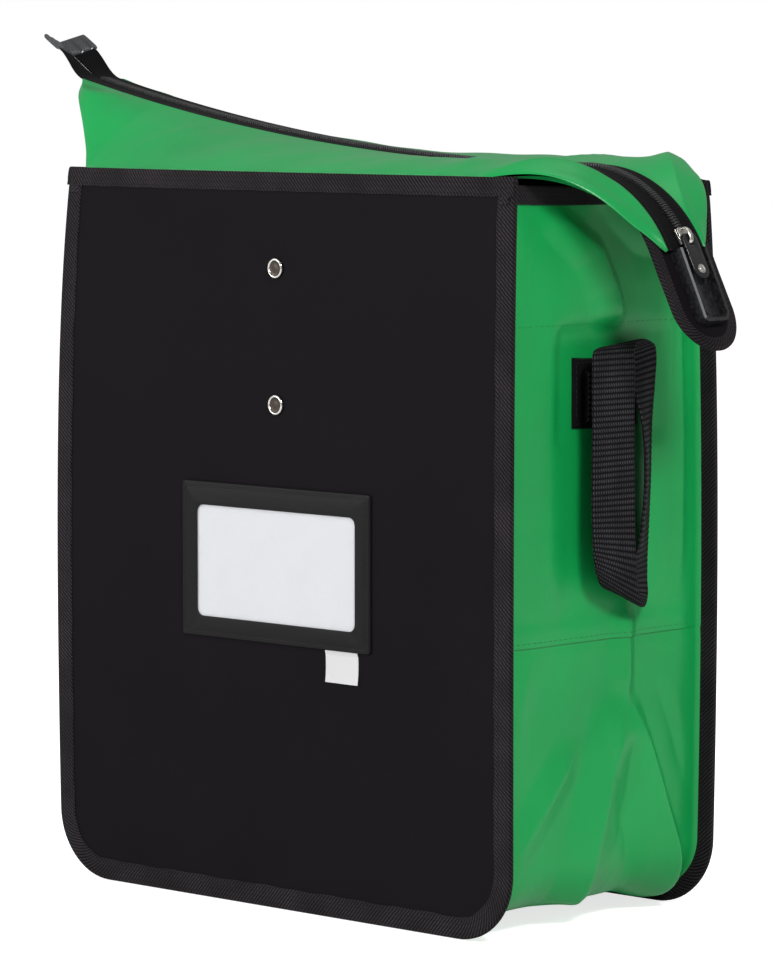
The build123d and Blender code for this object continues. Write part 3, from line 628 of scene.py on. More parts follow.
def ridge(distance: object, across: object, lift: object) -> np.ndarray:
    """Points by the ridge line.

    Args:
        distance: from the ridge's left end, along it; below 0 is the free tail.
        across: sideways from it, along Y.
        lift: outwards from it.

    Returns:
        Points in millimetres, with XYZ on the last axis.
    """
    s, y, h = np.broadcast_arrays(*(np.asarray(v, float) for v in (distance, across, lift)))
    slope = BAG.left_slope - np.clip(s, 0, BAG.sag_length) / BAG.sag
    x = BAG.ridge_x - (BAG.sag - h) * np.sin(slope)
    z = BAG.ridge_z + BAG.sag - (BAG.sag - h) * np.cos(slope)
    turn = np.clip((s - BAG.sag_length) / BAG.droop, 0, BAG.droop_angle)
    past = np.maximum(s - BAG.ridge_length, 0)
    over = s > BAG.sag_length
    x = np.where(over, BAG.ridge_x + (BAG.droop + h) * np.sin(turn) + past * np.cos(turn), x)
    z = np.where(over, BAG.ridge_z - BAG.droop + (BAG.droop + h) * np.cos(turn) - past * np.sin(turn), z)
    start = BAG.left_slope
    back = np.maximum(-s, 0)
    bend = np.minimum(back / BAG.tail_radius, BAG.tail_turn)
    rest = np.maximum(back - BAG.tail_radius * BAG.tail_turn, 0)
    x0 = BAG.ridge_x - BAG.sag * math.sin(start) + BAG.tail_radius * math.sin(start)
    z0 = BAG.ridge_z + BAG.sag * (1 - math.cos(start)) + BAG.tail_radius * math.cos(start)
    reach = BAG.tail_radius - h
    tail_x = x0 - reach * np.sin(start + bend) - rest * np.cos(start + bend)
    tail_z = z0 - reach * np.cos(start + bend) + rest * np.sin(start + bend)
    x, z = np.where(s < 0, tail_x, x), np.where(s < 0, tail_z, z)
    return np.stack([x, y, z], axis=-1)


def ease(value: object) -> np.ndarray:
    """A smooth step from 0 to 1 over 0 to 1."""
    t = np.clip(value, 0, 1)
    return t * t * (3 - 2 * t)


def window(value: object, start: float, full: float, fall: float, end: float) -> np.ndarray:
    """Rises smoothly from start to full, then falls from fall to end."""
    value = np.asarray(value, float)
    return ease((value - start) / (full - start)) * (1 - ease((value - fall) / (end - fall)))


@dataclass(frozen=True)
class Crease:
    """A fold in a sheet: a crest or valley along a line of points on the sheet.

    Attributes:
        path: points on the sheet, in the sheet's own two directions.
        rise: height of the crest, or below 0 the depth of the valley.
        reach: how far its slopes run, on the line's left and on its right.
        sharp: 1 for a straight slope up to a knife edge, above 1 for a hollow one.
        fade: share of the line over which it dies out at each end.
    """

    path: tuple[tuple[float, float], ...]
    rise: float
    reach: tuple[float, float]
    sharp: float = 1.5
    fade: tuple[float, float] = (0.25, 0.25)

    def height(self, a: np.ndarray, b: np.ndarray) -> np.ndarray:
        """Returns the crease's own height at sheet places a, b."""
        best = np.full(a.shape, np.inf)
        side = np.ones(a.shape)
        share = np.zeros(a.shape)
        points = np.array(self.path, float)
        lengths = np.linalg.norm(np.diff(points, axis=0), axis=1)
        before = np.concatenate([[0.0], np.cumsum(lengths)])
        for start, end, length, done in zip(points[:-1], points[1:], lengths, before):
            along = (end - start) / length
            t = (a - start[0]) * along[0] + (b - start[1]) * along[1]
            off = (a - start[0]) * along[1] - (b - start[1]) * along[0]
            inside = np.clip(t, 0, length)
            gap = np.hypot(off, t - inside)
            near = gap < best
            best = np.where(near, gap, best)
            side = np.where(near, off, side)
            share = np.where(near, (done + inside) / before[-1], share)
        reach = np.where(side > 0, self.reach[0], self.reach[1])
        slope = np.clip(1 - best / reach, 0, 1) ** self.sharp
        ends = ease(share / max(self.fade[0], 1e-6)) * ease((1 - share) / max(self.fade[1], 1e-6))
        return self.rise * slope * ends


def creased(creases: Sequence[Crease], a: np.ndarray, b: np.ndarray) -> np.ndarray:
    """Returns the sum of several creases' heights."""
    return sum((crease.height(a, b) for crease in creases), np.zeros(a.shape))


def spline(points: Sequence[Sequence[float]], count: int, closed: bool = False) -> np.ndarray:
    """A smooth curve through points.

    Args:
        points: what it passes through.
        count: how many points to return.
        closed: whether it joins up with its start.

    Returns:
        Points spaced evenly in parameter, not repeating the first of a closed curve.
    """
    knots = np.asarray(points, float)
    n = len(knots)
    spans = n if closed else n - 1
    t = np.linspace(0, spans, count, endpoint=not closed)
    i = np.minimum(t.astype(int), spans - 1)
    f = (t - i)[:, None]

    def knot(index: np.ndarray) -> np.ndarray:
        """Returns the knots at those indices, wrapped or held at the ends."""
        return knots[index % n] if closed else knots[np.clip(index, 0, n - 1)]

    p0, p1, p2, p3 = knot(i - 1), knot(i), knot(i + 1), knot(i + 2)
    return 0.5 * (
        2 * p1 + (p2 - p0) * f + (2 * p0 - 5 * p1 + 4 * p2 - p3) * f**2 + (3 * p1 - p0 - 3 * p2 + p3) * f**3
    )


# ---------------------------------------------------------------------------
# Mesh tools
# ---------------------------------------------------------------------------
def surface(name: str, grid: np.ndarray, closed: tuple[bool, bool] = (False, False)) -> bpy.types.Object:
    """A quad surface through a grid of points, with a map of its own lengths in metres.

    Args:
        name: the object's name.
        grid: points in millimetres, rows by columns by XYZ.
        closed: whether the rows, and the columns, join up.

    Returns:
        The new object; a tube that is closed across only gets caps at its ends.
    """
    rows, cols = grid.shape[:2]
    points = grid * MM
    row_ids = np.arange(rows + 1 if closed[0] else rows)
    col_ids = np.arange(cols + 1 if closed[1] else cols)
    ring = points[np.ix_(row_ids % rows, col_ids % cols)]
    step_u = np.linalg.norm(np.diff(ring, axis=0), axis=2).mean(axis=1)
    step_v = np.linalg.norm(np.diff(ring, axis=1), axis=2)
    u = np.concatenate([[0.0], np.cumsum(step_u)])
    v = np.concatenate([np.zeros((len(row_ids), 1)), np.cumsum(step_v, axis=1)], axis=1)
    v = v - v.mean(axis=1, keepdims=True)
    faces, corners = [], []
    for i in range(len(row_ids) - 1):
        for j in range(len(col_ids) - 1):
            quad = ((i, j), (i + 1, j), (i + 1, j + 1), (i, j + 1))
            faces.append([(a % rows) * cols + b % cols for a, b in quad])
            corners.extend((u[a], v[a, b]) for a, b in quad)
    if closed[1] and not closed[0]:
        for row, order in ((0, 1), (rows - 1, -1)):
            faces.append([row * cols + j for j in range(cols)][::order])
            corners.extend([(u[row], v[row, j]) for j in range(cols)][::order])
    mesh = bpy.data.meshes.new(name)
    mesh.from_pydata(points.reshape(-1, 3).tolist(), [], faces)
    layer = mesh.uv_layers.new(name="UVMap")
    layer.data.foreach_set("uv", np.array(corners, np.float32).ravel())
    obj = bpy.data.objects.new(name, mesh)
    bpy.context.scene.collection.objects.link(obj)
    return obj


def focus(obj: bpy.types.Object) -> None:
    """Makes obj the only selected object and the active one."""
    bpy.ops.object.select_all(action="DESELECT")
    obj.select_set(True)
    bpy.context.view_layer.objects.active = obj


def modified(obj: bpy.types.Object, kind: str, **options: object) -> bpy.types.Object:
    """Adds a modifier, applies it and returns the object."""
    focus(obj)
    modifier = obj.modifiers.new(kind.lower(), kind)
    for name, value in options.items():
        setattr(modifier, name, value)
    bpy.ops.object.modifier_apply(modifier=modifier.name)
    return obj


def thicken(obj: bpy.types.Object, thickness: float, inside: Point = (0.0, 0.0, 225.0)) -> bpy.types.Object:
    """Gives a sheet its thickness, away from its outer face.

    Args:
        obj: the sheet, through its outer face.
        thickness: in millimetres.
        inside: a point in millimetres on the inner side of the sheet.

    Returns:
        The sheet as a closed piece.
    """
    heart = Vector(inside) * MM
    facing = sum(face.area * (face.center - heart).normalized().dot(face.normal) for face in obj.data.polygons)
    if facing < 0:
        obj.data.flip_normals()
    return modified(obj, "SOLIDIFY", thickness=thickness * MM, offset=-1.0, use_even_offset=False)


@contextlib.contextmanager
def editing(obj: bpy.types.Object) -> Iterator[None]:
    """Opens obj in edit mode with nothing selected, and leaves edit mode at the end."""
    focus(obj)
    bpy.ops.object.mode_set(mode="EDIT")
    bpy.ops.mesh.select_all(action="DESELECT")
    try:
        yield
    finally:
        bpy.ops.object.mode_set(mode="OBJECT")


def pick(obj: bpy.types.Object, kind: Element, test: Callable[[Vector, Vector], bool]) -> int:
    """Selects faces or edges in edit mode by their place in millimetres and direction.

    Args:
        obj: the object being edited.
        kind: faces, tested by middle and normal, or edges, by middle and direction.
        test: what says whether one is selected.

    Returns:
        How many are selected.
    """
    bpy.ops.mesh.select_all(action="DESELECT")
    bpy.ops.mesh.select_mode(type=kind.value)
    edit = bmesh.from_edit_mesh(obj.data)
    world = obj.matrix_world
    count = 0
    if kind is Element.FACE:
        for face in edit.faces:
            middle = world @ face.calc_center_median() / MM
            face.select_set(bool(test(middle, (world.to_3x3() @ face.normal).normalized())))
            count += face.select
    else:
        for edge in edit.edges:
            ends = [world @ v.co for v in edge.verts]
            way = (ends[1] - ends[0]).normalized()
            edge.select_set(bool(test((ends[0] + ends[1]) / 2 / MM, way)))
            count += edge.select
    edit.select_flush_mode()
    bmesh.update_edit_mesh(obj.data)
    return count


def block(name: str, low: Point, high: Point) -> bpy.types.Object:
    """Starts a piece from a cube primitive between two corners, in millimetres."""
    bpy.ops.object.select_all(action="DESELECT")
    middle = [(a + b) / 2 * MM for a, b in zip(low, high)]
    size = [(b - a) * MM for a, b in zip(low, high)]
    bpy.ops.mesh.primitive_cube_add(size=1, location=middle, scale=size)
    obj = bpy.context.active_object
    obj.name = obj.data.name = name
    return settle(obj)


def disc(name: str, middle: Point, radius: float, depth: float, turn: Point = (0, 0, 0)) -> bpy.types.Object:
    """Starts a piece from a 32-sided cylinder primitive, in millimetres, turned by angles."""
    bpy.ops.object.select_all(action="DESELECT")
    place = [v * MM for v in middle]
    bpy.ops.mesh.primitive_cylinder_add(
        vertices=32, radius=radius * MM, depth=depth * MM, location=place, rotation=turn
    )
    obj = bpy.context.active_object
    obj.name = obj.data.name = name
    return settle(obj)


def settle(obj: bpy.types.Object, matrix: Matrix | None = None) -> bpy.types.Object:
    """Moves an object's place, and then a matrix if given, into its mesh."""
    bpy.context.view_layer.update()
    obj.data.transform((matrix or Matrix.Identity(4)) @ obj.matrix_world)
    obj.matrix_world = Matrix.Identity(4)
    bpy.context.view_layer.update()
    return obj


def outward(obj: bpy.types.Object) -> bpy.types.Object:
    """Merges doubles and turns every face of a closed piece outwards."""
    edit = bmesh.new()
    edit.from_mesh(obj.data)
    bmesh.ops.remove_doubles(edit, verts=edit.verts, dist=1e-6)
    bmesh.ops.recalc_face_normals(edit, faces=edit.faces)
    edit.to_mesh(obj.data)
    edit.free()
    return obj


def join(name: str, pieces: Sequence[bpy.types.Object]) -> bpy.types.Object:
    """Joins pieces into one object of that name."""
    focus(pieces[0])
    for piece in pieces:
        piece.select_set(True)
    bpy.ops.object.join()
    pieces[0].name = pieces[0].data.name = name
    return pieces[0]


def copied(obj: bpy.types.Object, name: str, matrix: Matrix) -> bpy.types.Object:
    """A copy of obj with its own mesh, moved by a matrix."""
    twin = obj.copy()
    twin.data = obj.data.copy()
    twin.name = twin.data.name = name
    bpy.context.scene.collection.objects.link(twin)
    twin.data.transform(matrix)
    if matrix.determinant() < 0:
        twin.data.flip_normals()
    return twin


MIRROR_X = Matrix.Diagonal((-1, 1, 1, 1))
MIRROR_Y = Matrix.Diagonal((1, -1, 1, 1))


def mark(obj: bpy.types.Object, finishes: Sequence[Finish], choose: Callable[[Vector, Vector], int] | None = None) -> None:
    """Gives obj its materials.

    Args:
        obj: the piece.
        finishes: one or more finishes.
        choose: which of them a face takes, by its middle in millimetres and its normal.
    """
    obj.data.materials.clear()
    for finish in finishes:
        obj.data.materials.append(finish.material())
    for face in obj.data.polygons:
        face.material_index = choose(face.center / MM, face.normal) if choose else 0


def draw_in(obj: bpy.types.Object) -> None:
    """Draws the mouth in at both ends, lets the panels' ends bow a little and sinks the left back ear."""
    flat = np.empty(len(obj.data.vertices) * 3, np.float32)
    obj.data.vertices.foreach_get("co", flat)
    place = flat.reshape(-1, 3)
    x, y, z = (place[:, k] / MM for k in range(3))
    drawn = np.where(x < 0, np.where(y < 0, 10.5, 7.0), np.where(y < 0, 2.5, 7.0))
    bowed = np.where(y < 0, np.where(x < 0, 3.5, 0.5), 4.5)
    ends = np.clip((np.abs(x) - 50) / 140, 0, 1) ** 1.5
    height = np.clip(z / 450, 0.0, 1.15)
    shift = bowed * np.maximum(np.sin(np.pi * np.clip(height, 0, 1)), 0.0) ** 0.7 - drawn * height**5
    place[:, 1] += np.sign(y) * shift * ends * ease((np.abs(y) - 28) / 64) * MM
    place[:, 2] -= 12.0 * ease((-x - 130) / 60) * ease((y - 17) / 30) * ease((z - 452) / 24) * MM
    shoulder = ease((x - 158) / 26) * (1 - ease((x - 198) / 26)) * ease((y - 45) / 35)
    place[:, 2] += 4.0 * shoulder * ease((z - 450.8) / 5) * MM
    dropped = ease((x - 168) / 24) * ease((y - 74) / 16) * ease((z - 425) / 25)
    place[:, 2] -= 5.0 * dropped * (1 - ease((z - 450.8) / 2)) * MM
    obj.data.vertices.foreach_set("co", place.ravel())
    obj.data.update()


def install(
    obj: bpy.types.Object,
    body: str,
    finish: Finish | Sequence[Finish],
    replaces: Sequence[str] = (),
    angle: float = 42.0,
    choose: Callable[[Vector, Vector], int] | None = None,
) -> bpy.types.Object:
    """Finishes a piece: shading, material, body and the CAD nodes it stands for.

    Args:
        obj: the piece, with its place in its mesh.
        body: the CAD body it moves with.
        finish: its finish, or several.
        replaces: the CAD nodes it replaces.
        angle: edges that turn more than this many degrees stay sharp.
        choose: which finish a face takes, as in mark.

    Returns:
        The piece.
    """
    finishes = [finish] if isinstance(finish, Finish) else list(finish)
    mark(obj, finishes, choose)
    if body == "root":
        draw_in(obj)
    focus(obj)
    bpy.ops.object.shade_smooth_by_angle(angle=math.radians(angle))
    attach(obj, body)
    if replaces:
        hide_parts(*replaces)
    LOG.info("%s: %d faces on %s", obj.name, len(obj.data.polygons), body)
    return obj


def stitches(name: str, line: np.ndarray, normals: np.ndarray, length: float, gap: float, size: float) -> bpy.types.Object:
    """A row of sewn stitches along a line.

    Args:
        name: the object's name.
        line: points of the line, in millimetres.
        normals: the surface's outward normal at each.
        length: of one stitch.
        gap: between two stitches.
        size: the thread's thickness.

    Returns:
        One object with every stitch, each a few faces.
    """
    bpy.ops.object.select_all(action="DESELECT")
    bpy.ops.mesh.primitive_uv_sphere_add(segments=6, ring_count=4, radius=0.5)
    seed = bpy.context.active_object
    shape = np.array([v.co for v in seed.data.vertices])
    shape = shape[:, [2, 0, 1]] * (length, size, size * 0.8)
    seed_faces = [list(p.vertices) for p in seed.data.polygons]
    bpy.data.objects.remove(seed)
    steps = np.linalg.norm(np.diff(line, axis=0), axis=1)
    run = np.concatenate([[0.0], np.cumsum(steps)])
    places = np.arange((length + gap) / 2, run[-1], length + gap)
    verts, faces = [], []
    for place in places:
        at, ahead = (np.array([np.interp(p, run, line[:, k]) for k in range(3)]) for p in (place, place + 0.5))
        behind = np.array([np.interp(place - 0.5, run, line[:, k]) for k in range(3)])
        normal = np.array([np.interp(place, run, normals[:, k]) for k in range(3)])
        along = (ahead - behind) / np.linalg.norm(ahead - behind)
        normal = normal - along * (normal @ along)
        normal /= np.linalg.norm(normal)
        across = np.cross(normal, along)
        base = len(verts) * len(shape)
        verts.append(at + shape @ np.array([along, across, normal]))
        faces.extend([[base + i for i in f] for f in seed_faces])
    mesh = bpy.data.meshes.new(name)
    mesh.from_pydata((np.concatenate(verts) * MM).tolist(), [], faces)
    mesh.uv_layers.new(name="UVMap")
    obj = bpy.data.objects.new(name, mesh)
    bpy.context.scene.collection.objects.link(obj)
    return outward(obj)


def corner_box(node: str) -> tuple[Vector, Vector]:
    """Lowest and highest corner of a CAD node, in millimetres."""
    low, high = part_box(node)
    return low / MM, high / MM


def outline(inset: float, spacing: float = 4.0) -> tuple[np.ndarray, np.ndarray]:
    """The open outline of a panel, down one side, along the floor and up the other.

    Args:
        inset: how far inside the panel's edge.
        spacing: distance between points on the straights.

    Returns:
        Points (X, Z) and the inward directions there.
    """
    half, radius = BAG.width / 2, BAG.corner
    side = np.arange(BAG.height, radius, -spacing)
    turn = np.linspace(0, math.pi / 2, 19)
    foot = np.arange(-half + radius + spacing, 0, spacing)
    left = np.stack([np.full(side.shape, -half), side], 1)
    bend = np.stack([-half + radius - radius * np.cos(turn), radius - radius * np.sin(turn)], 1)
    floor = np.stack([foot, np.zeros(foot.shape)], 1)
    points = np.concatenate([left, bend, floor])
    inward = np.concatenate(
        [np.tile((1.0, 0.0), (len(left), 1)), np.stack([np.cos(turn), np.sin(turn)], 1), np.tile((0.0, 1.0), (len(foot), 1))]
    )
    points = np.concatenate([points, [[0.0, 0.0]], points[::-1] * (-1, 1)])
    inward = np.concatenate([inward, [[0.0, 1.0]], inward[::-1] * (-1, 1)])
    return points + inward * inset, inward


def panel_grid(inset: float, top: float, cols: int = 97, rows: int = 112) -> tuple[np.ndarray, np.ndarray]:
    """Places (X, Z) that fill a panel's outline evenly.

    Args:
        inset: how far inside the panel's edge.
        top: height of the upper edge.
        cols: columns.
        rows: rows.

    Returns:
        X and Z, each rows by columns.
    """
    radius = BAG.corner - inset
    turn = np.linspace(0, math.pi / 2, 15)
    low = inset + radius * (1 - np.cos(turn))
    z = np.concatenate([low, np.linspace(inset + radius, top, rows - 14)[1:]])
    rise = np.clip(inset + radius - z, 0, radius)
    half = BAG.width / 2 - inset - radius + np.sqrt(np.maximum(radius**2 - rise**2, 0))
    share = np.linspace(-1, 1, cols)
    return half[:, None] * share, np.tile(z[:, None], (1, cols))


# ---------------------------------------------------------------------------
# Stiff panels
# ---------------------------------------------------------------------------
@dataclass
class Panels:
    """Front and back panels: covers, boards, linings, folded edge tape and its stitching."""

    cover: float = 1.2
    board: float = 2.3
    lining: float = 0.6
    insert_inset: float = 13.5
    insert_top: float = 435.5
    tape: float = 0.8
    face_leg: float = 13.0
    back_leg: float = 11.6
    ripple: float = 0.35

    def cover_sheet(self, name: str, side: Side) -> bpy.types.Object:
        """Makes one black cover, drawn tight over its board with a faint ripple."""
        x, z = panel_grid(BAG.cover_face, BAG.height - BAG.cover_face)
        edge = np.minimum(np.minimum(BAG.width / 2 - np.abs(x), z), BAG.height - z)
        slack = ease((edge - 14) / 50)
        still = 1 - window(np.abs(x), -1, 0, 84, 110) * window(z, 130, 150, 265, 290)
        wave = np.sin(x / 41 + 0.6 * np.sin(z / 63)) * np.sin(z / 57 + 0.9) + 0.5 * np.sin(x / 97 + z / 71)
        rivets = sum(np.exp(-((x**2 + (z - h) ** 2) / 14.0**2)) for h in (392.0, 309.0))
        dent = 0.35 * rivets if side is Side.MINUS else 0.0
        y = BAG.depth / 2 - BAG.cover_face + slack * still * self.ripple * wave * 0.6 - dent
        grid = np.stack([x, y * side.value, z], axis=-1)
        return thicken(surface(name, grid), self.cover)

    def lining_sheet(self, name: str, side: Side) -> bpy.types.Object:
        """Makes the lining on the inside of a board."""
        x, z = panel_grid(self.insert_inset, self.insert_top, 41, 50)
        y = np.full(x.shape, BAG.depth / 2 - 4.4) * side.value
        y = y - side.value * 0.25 * (1 + np.sin(x / 23) * np.sin(z / 31))
        grid = np.stack([x, y, z], axis=-1)
        return thicken(surface(name, grid), self.lining)

    def board_sheet(self, name: str, side: Side) -> bpy.types.Object:
        """Makes the stiffener board behind a cover."""
        x, z = panel_grid(self.insert_inset, self.insert_top, 41, 50)
        y = np.full(x.shape, BAG.depth / 2 - 2.05) * side.value
        return thicken(surface(name, np.stack([x, y, z], axis=-1)), self.board)

    def tape_section(self) -> np.ndarray:
        """Section of the folded tape: inset from the panel's edge, and depth from its face."""
        t, back = self.tape, BAG.stack
        outer = [(13.0, 0.25), (12.6, 0.02), (11.0, -0.06), (9.6, 0.1), (8.4, -0.08), (5.0, -0.12), (2.2, -0.1)]
        outer += [(0.9, 0.02), (0.15, 0.45), (-0.12, 1.2), (-0.12, 2.6), (0.15, 3.35), (0.9, 3.78)]
        outer += [(2.2, back + 0.1), (5.5, back + 0.12), (8.6, back + 0.05), (11.2, back), (11.6, back - 0.25)]
        inner = [(11.6, back - t), (6.0, back - t), (1.6, back - t), (0.9, 2.5), (0.9, 1.3), (1.6, t), (7.0, t), (13.0, t)]
        return np.array(outer + inner)

    def edge_tape(self, name: str, side: Side) -> bpy.types.Object:
        """Makes the twill tape folded over a panel's edge, down, round and up."""
        points, inward = outline(0.0)
        section = self.tape_section()
        run = np.arange(len(points))
        waver = 1 + 0.018 * np.sin(run * 0.9) + 0.015 * np.sin(run * 0.37 + 1)
        a = section[None, :, 0] * waver[:, None]
        plan = points[:, None, :] + inward[:, None, :] * a[..., None]
        y = BAG.depth / 2 - section[None, :, 1] + 0.0 * a
        grid = np.stack([plan[..., 0], y * side.value, plan[..., 1]], axis=-1)
        grid[..., 2] = np.minimum(grid[..., 2], BAG.height - 0.6)
        return outward(surface(name, grid, (False, True)))

    def edge_stitching(self, name: str, side: Side, face: bool) -> bpy.types.Object:
        """Makes the row of stitches through the edge tape, on its face or its back leg."""
        points, _ = outline(9.6)
        depth = 0.0 if face else BAG.stack + 0.05
        y = np.full(len(points), (BAG.depth / 2 - depth) * side.value)
        line = np.stack([points[:, 0], y, points[:, 1]], 1)[2:-2]
        normal = np.tile((0.0, side.value * (1 if face else -1), 0.0), (len(line), 1))
        return stitches(name, line, normal, 2.6, 0.9, 0.55)

    def build(self, frame: dict) -> None:
        """Builds and installs both panels: covers, edge tapes, linings, boards and their stitching."""
        for word, side in (("front", Side.MINUS), ("back", Side.PLUS)):
            cover = self.cover_sheet(f"{word}_cover_sheet", side)
            install(cover, "root", BLACK_COVER, [f"{word}_panel"])
            tape = self.edge_tape(f"{word}_edge_tape", side)
            install(tape, "root", TWILL, [f"{word}_edge_binding"])
            lining = self.lining_sheet(f"{word}_lining_sheet", side)
            install(lining, "root", LINING, [f"{word}_lining"])
            install(self.board_sheet(f"{word}_board_sheet", side), "root", BOARD, [f"{word}_stiffener"])
            rows = [
                install(self.edge_stitching(f"{word}_edge_stitches", side, True), "root", THREAD),
                install(self.edge_stitching(f"{word}_edge_stitches_inner", side, False), "root", THREAD),
            ]


# ---------------------------------------------------------------------------
# Gusset
# ---------------------------------------------------------------------------
RIGHT_CREASES = (
    Crease(((-52, 440), (-38, 427), (-12, 406), (2, 382), (12, 352)), 10.0, (20, 13), 1.08, (0.2, 0.2)),
    Crease(((-70, 446), (-84, 402), (-88, 350)), 3.0, (14, 20), 1.3, (0.1, 0.5)),
    Crease(((30, 442), (52, 405), (60, 350), (58, 290)), 3.6, (26, 22), 1.5, (0.2, 0.5)),
    Crease(((-6, 440), (10, 418), (30, 402), (56, 396)), -4.0, (16, 14), 1.4, (0.2, 0.4)),
    Crease(((24, 206), (20, 126)), 5.2, (15, 10), 1.15, (0.3, 0.3)),
    Crease(((20, 144), (77, 8)), 10.5, (32, 11), 1.1, (0.28, 0.08)),
    Crease(((19, 142), (-13, 40), (-12, 10)), 8.5, (24, 24), 1.12, (0.3, 0.08)),
    Crease(((-16, 118), (-88, 36)), 4.6, (17, 15), 1.2, (0.3, 0.2)),
    Crease(((21, 120), (30, 14)), -3.4, (15, 15), 1.3, (0.2, 0.2)),
    Crease(((48, 150), (66, 110), (80, 70)), -1.8, (14, 12), 1.5, (0.3, 0.4)),
    Crease(((-60, 172), (-74, 130), (-84, 84)), 1.8, (20, 14), 1.5, (0.3, 0.4)),
    Crease(((70, 420), (72, 300), (72, 190)), 1.8, (10, 10), 1.6, (0.2, 0.2)),
)
LEFT_CREASES = (
    Crease(((40, 440), (24, 420), (6, 396), (-4, 356)), 4.2, (22, 24), 1.4, (0.2, 0.2)),
    Crease(((-34, 438), (-56, 396), (-62, 330)), 2.8, (22, 24), 1.5, (0.2, 0.5)),
    Crease(((-18, 200), (-16, 170), (-14, 146)), 4.0, (16, 16), 1.3, (0.3, 0.05)),
    Crease(((-14, 150), (-34, 104), (-58, 58), (-70, 16)), 7.0, (18, 28), 1.3, (0.06, 0.15)),
    Crease(((-14, 150), (2, 112), (16, 70), (20, 18)), 6.2, (28, 24), 1.3, (0.06, 0.15)),
    Crease(((-14, 128), (-18, 80), (-22, 18)), -4.0, (17, 17), 1.2, (0.15, 0.2)),
    Crease(((30, 116), (56, 80), (84, 44)), 3.2, (15, 16), 1.3, (0.25, 0.2)),
    Crease(((72, 400), (74, 290), (70, 200)), 1.6, (10, 10), 1.6, (0.2, 0.2)),
)
BASE_CREASES = (
    Crease(((-120, -60), (-40, -20), (60, -30), (130, 10)), 2.0, (24, 24), 1.5, (0.2, 0.2)),
    Crease(((-90, 50), (10, 34), (110, 60)), -1.8, (20, 20), 1.5, (0.2, 0.2)),
)


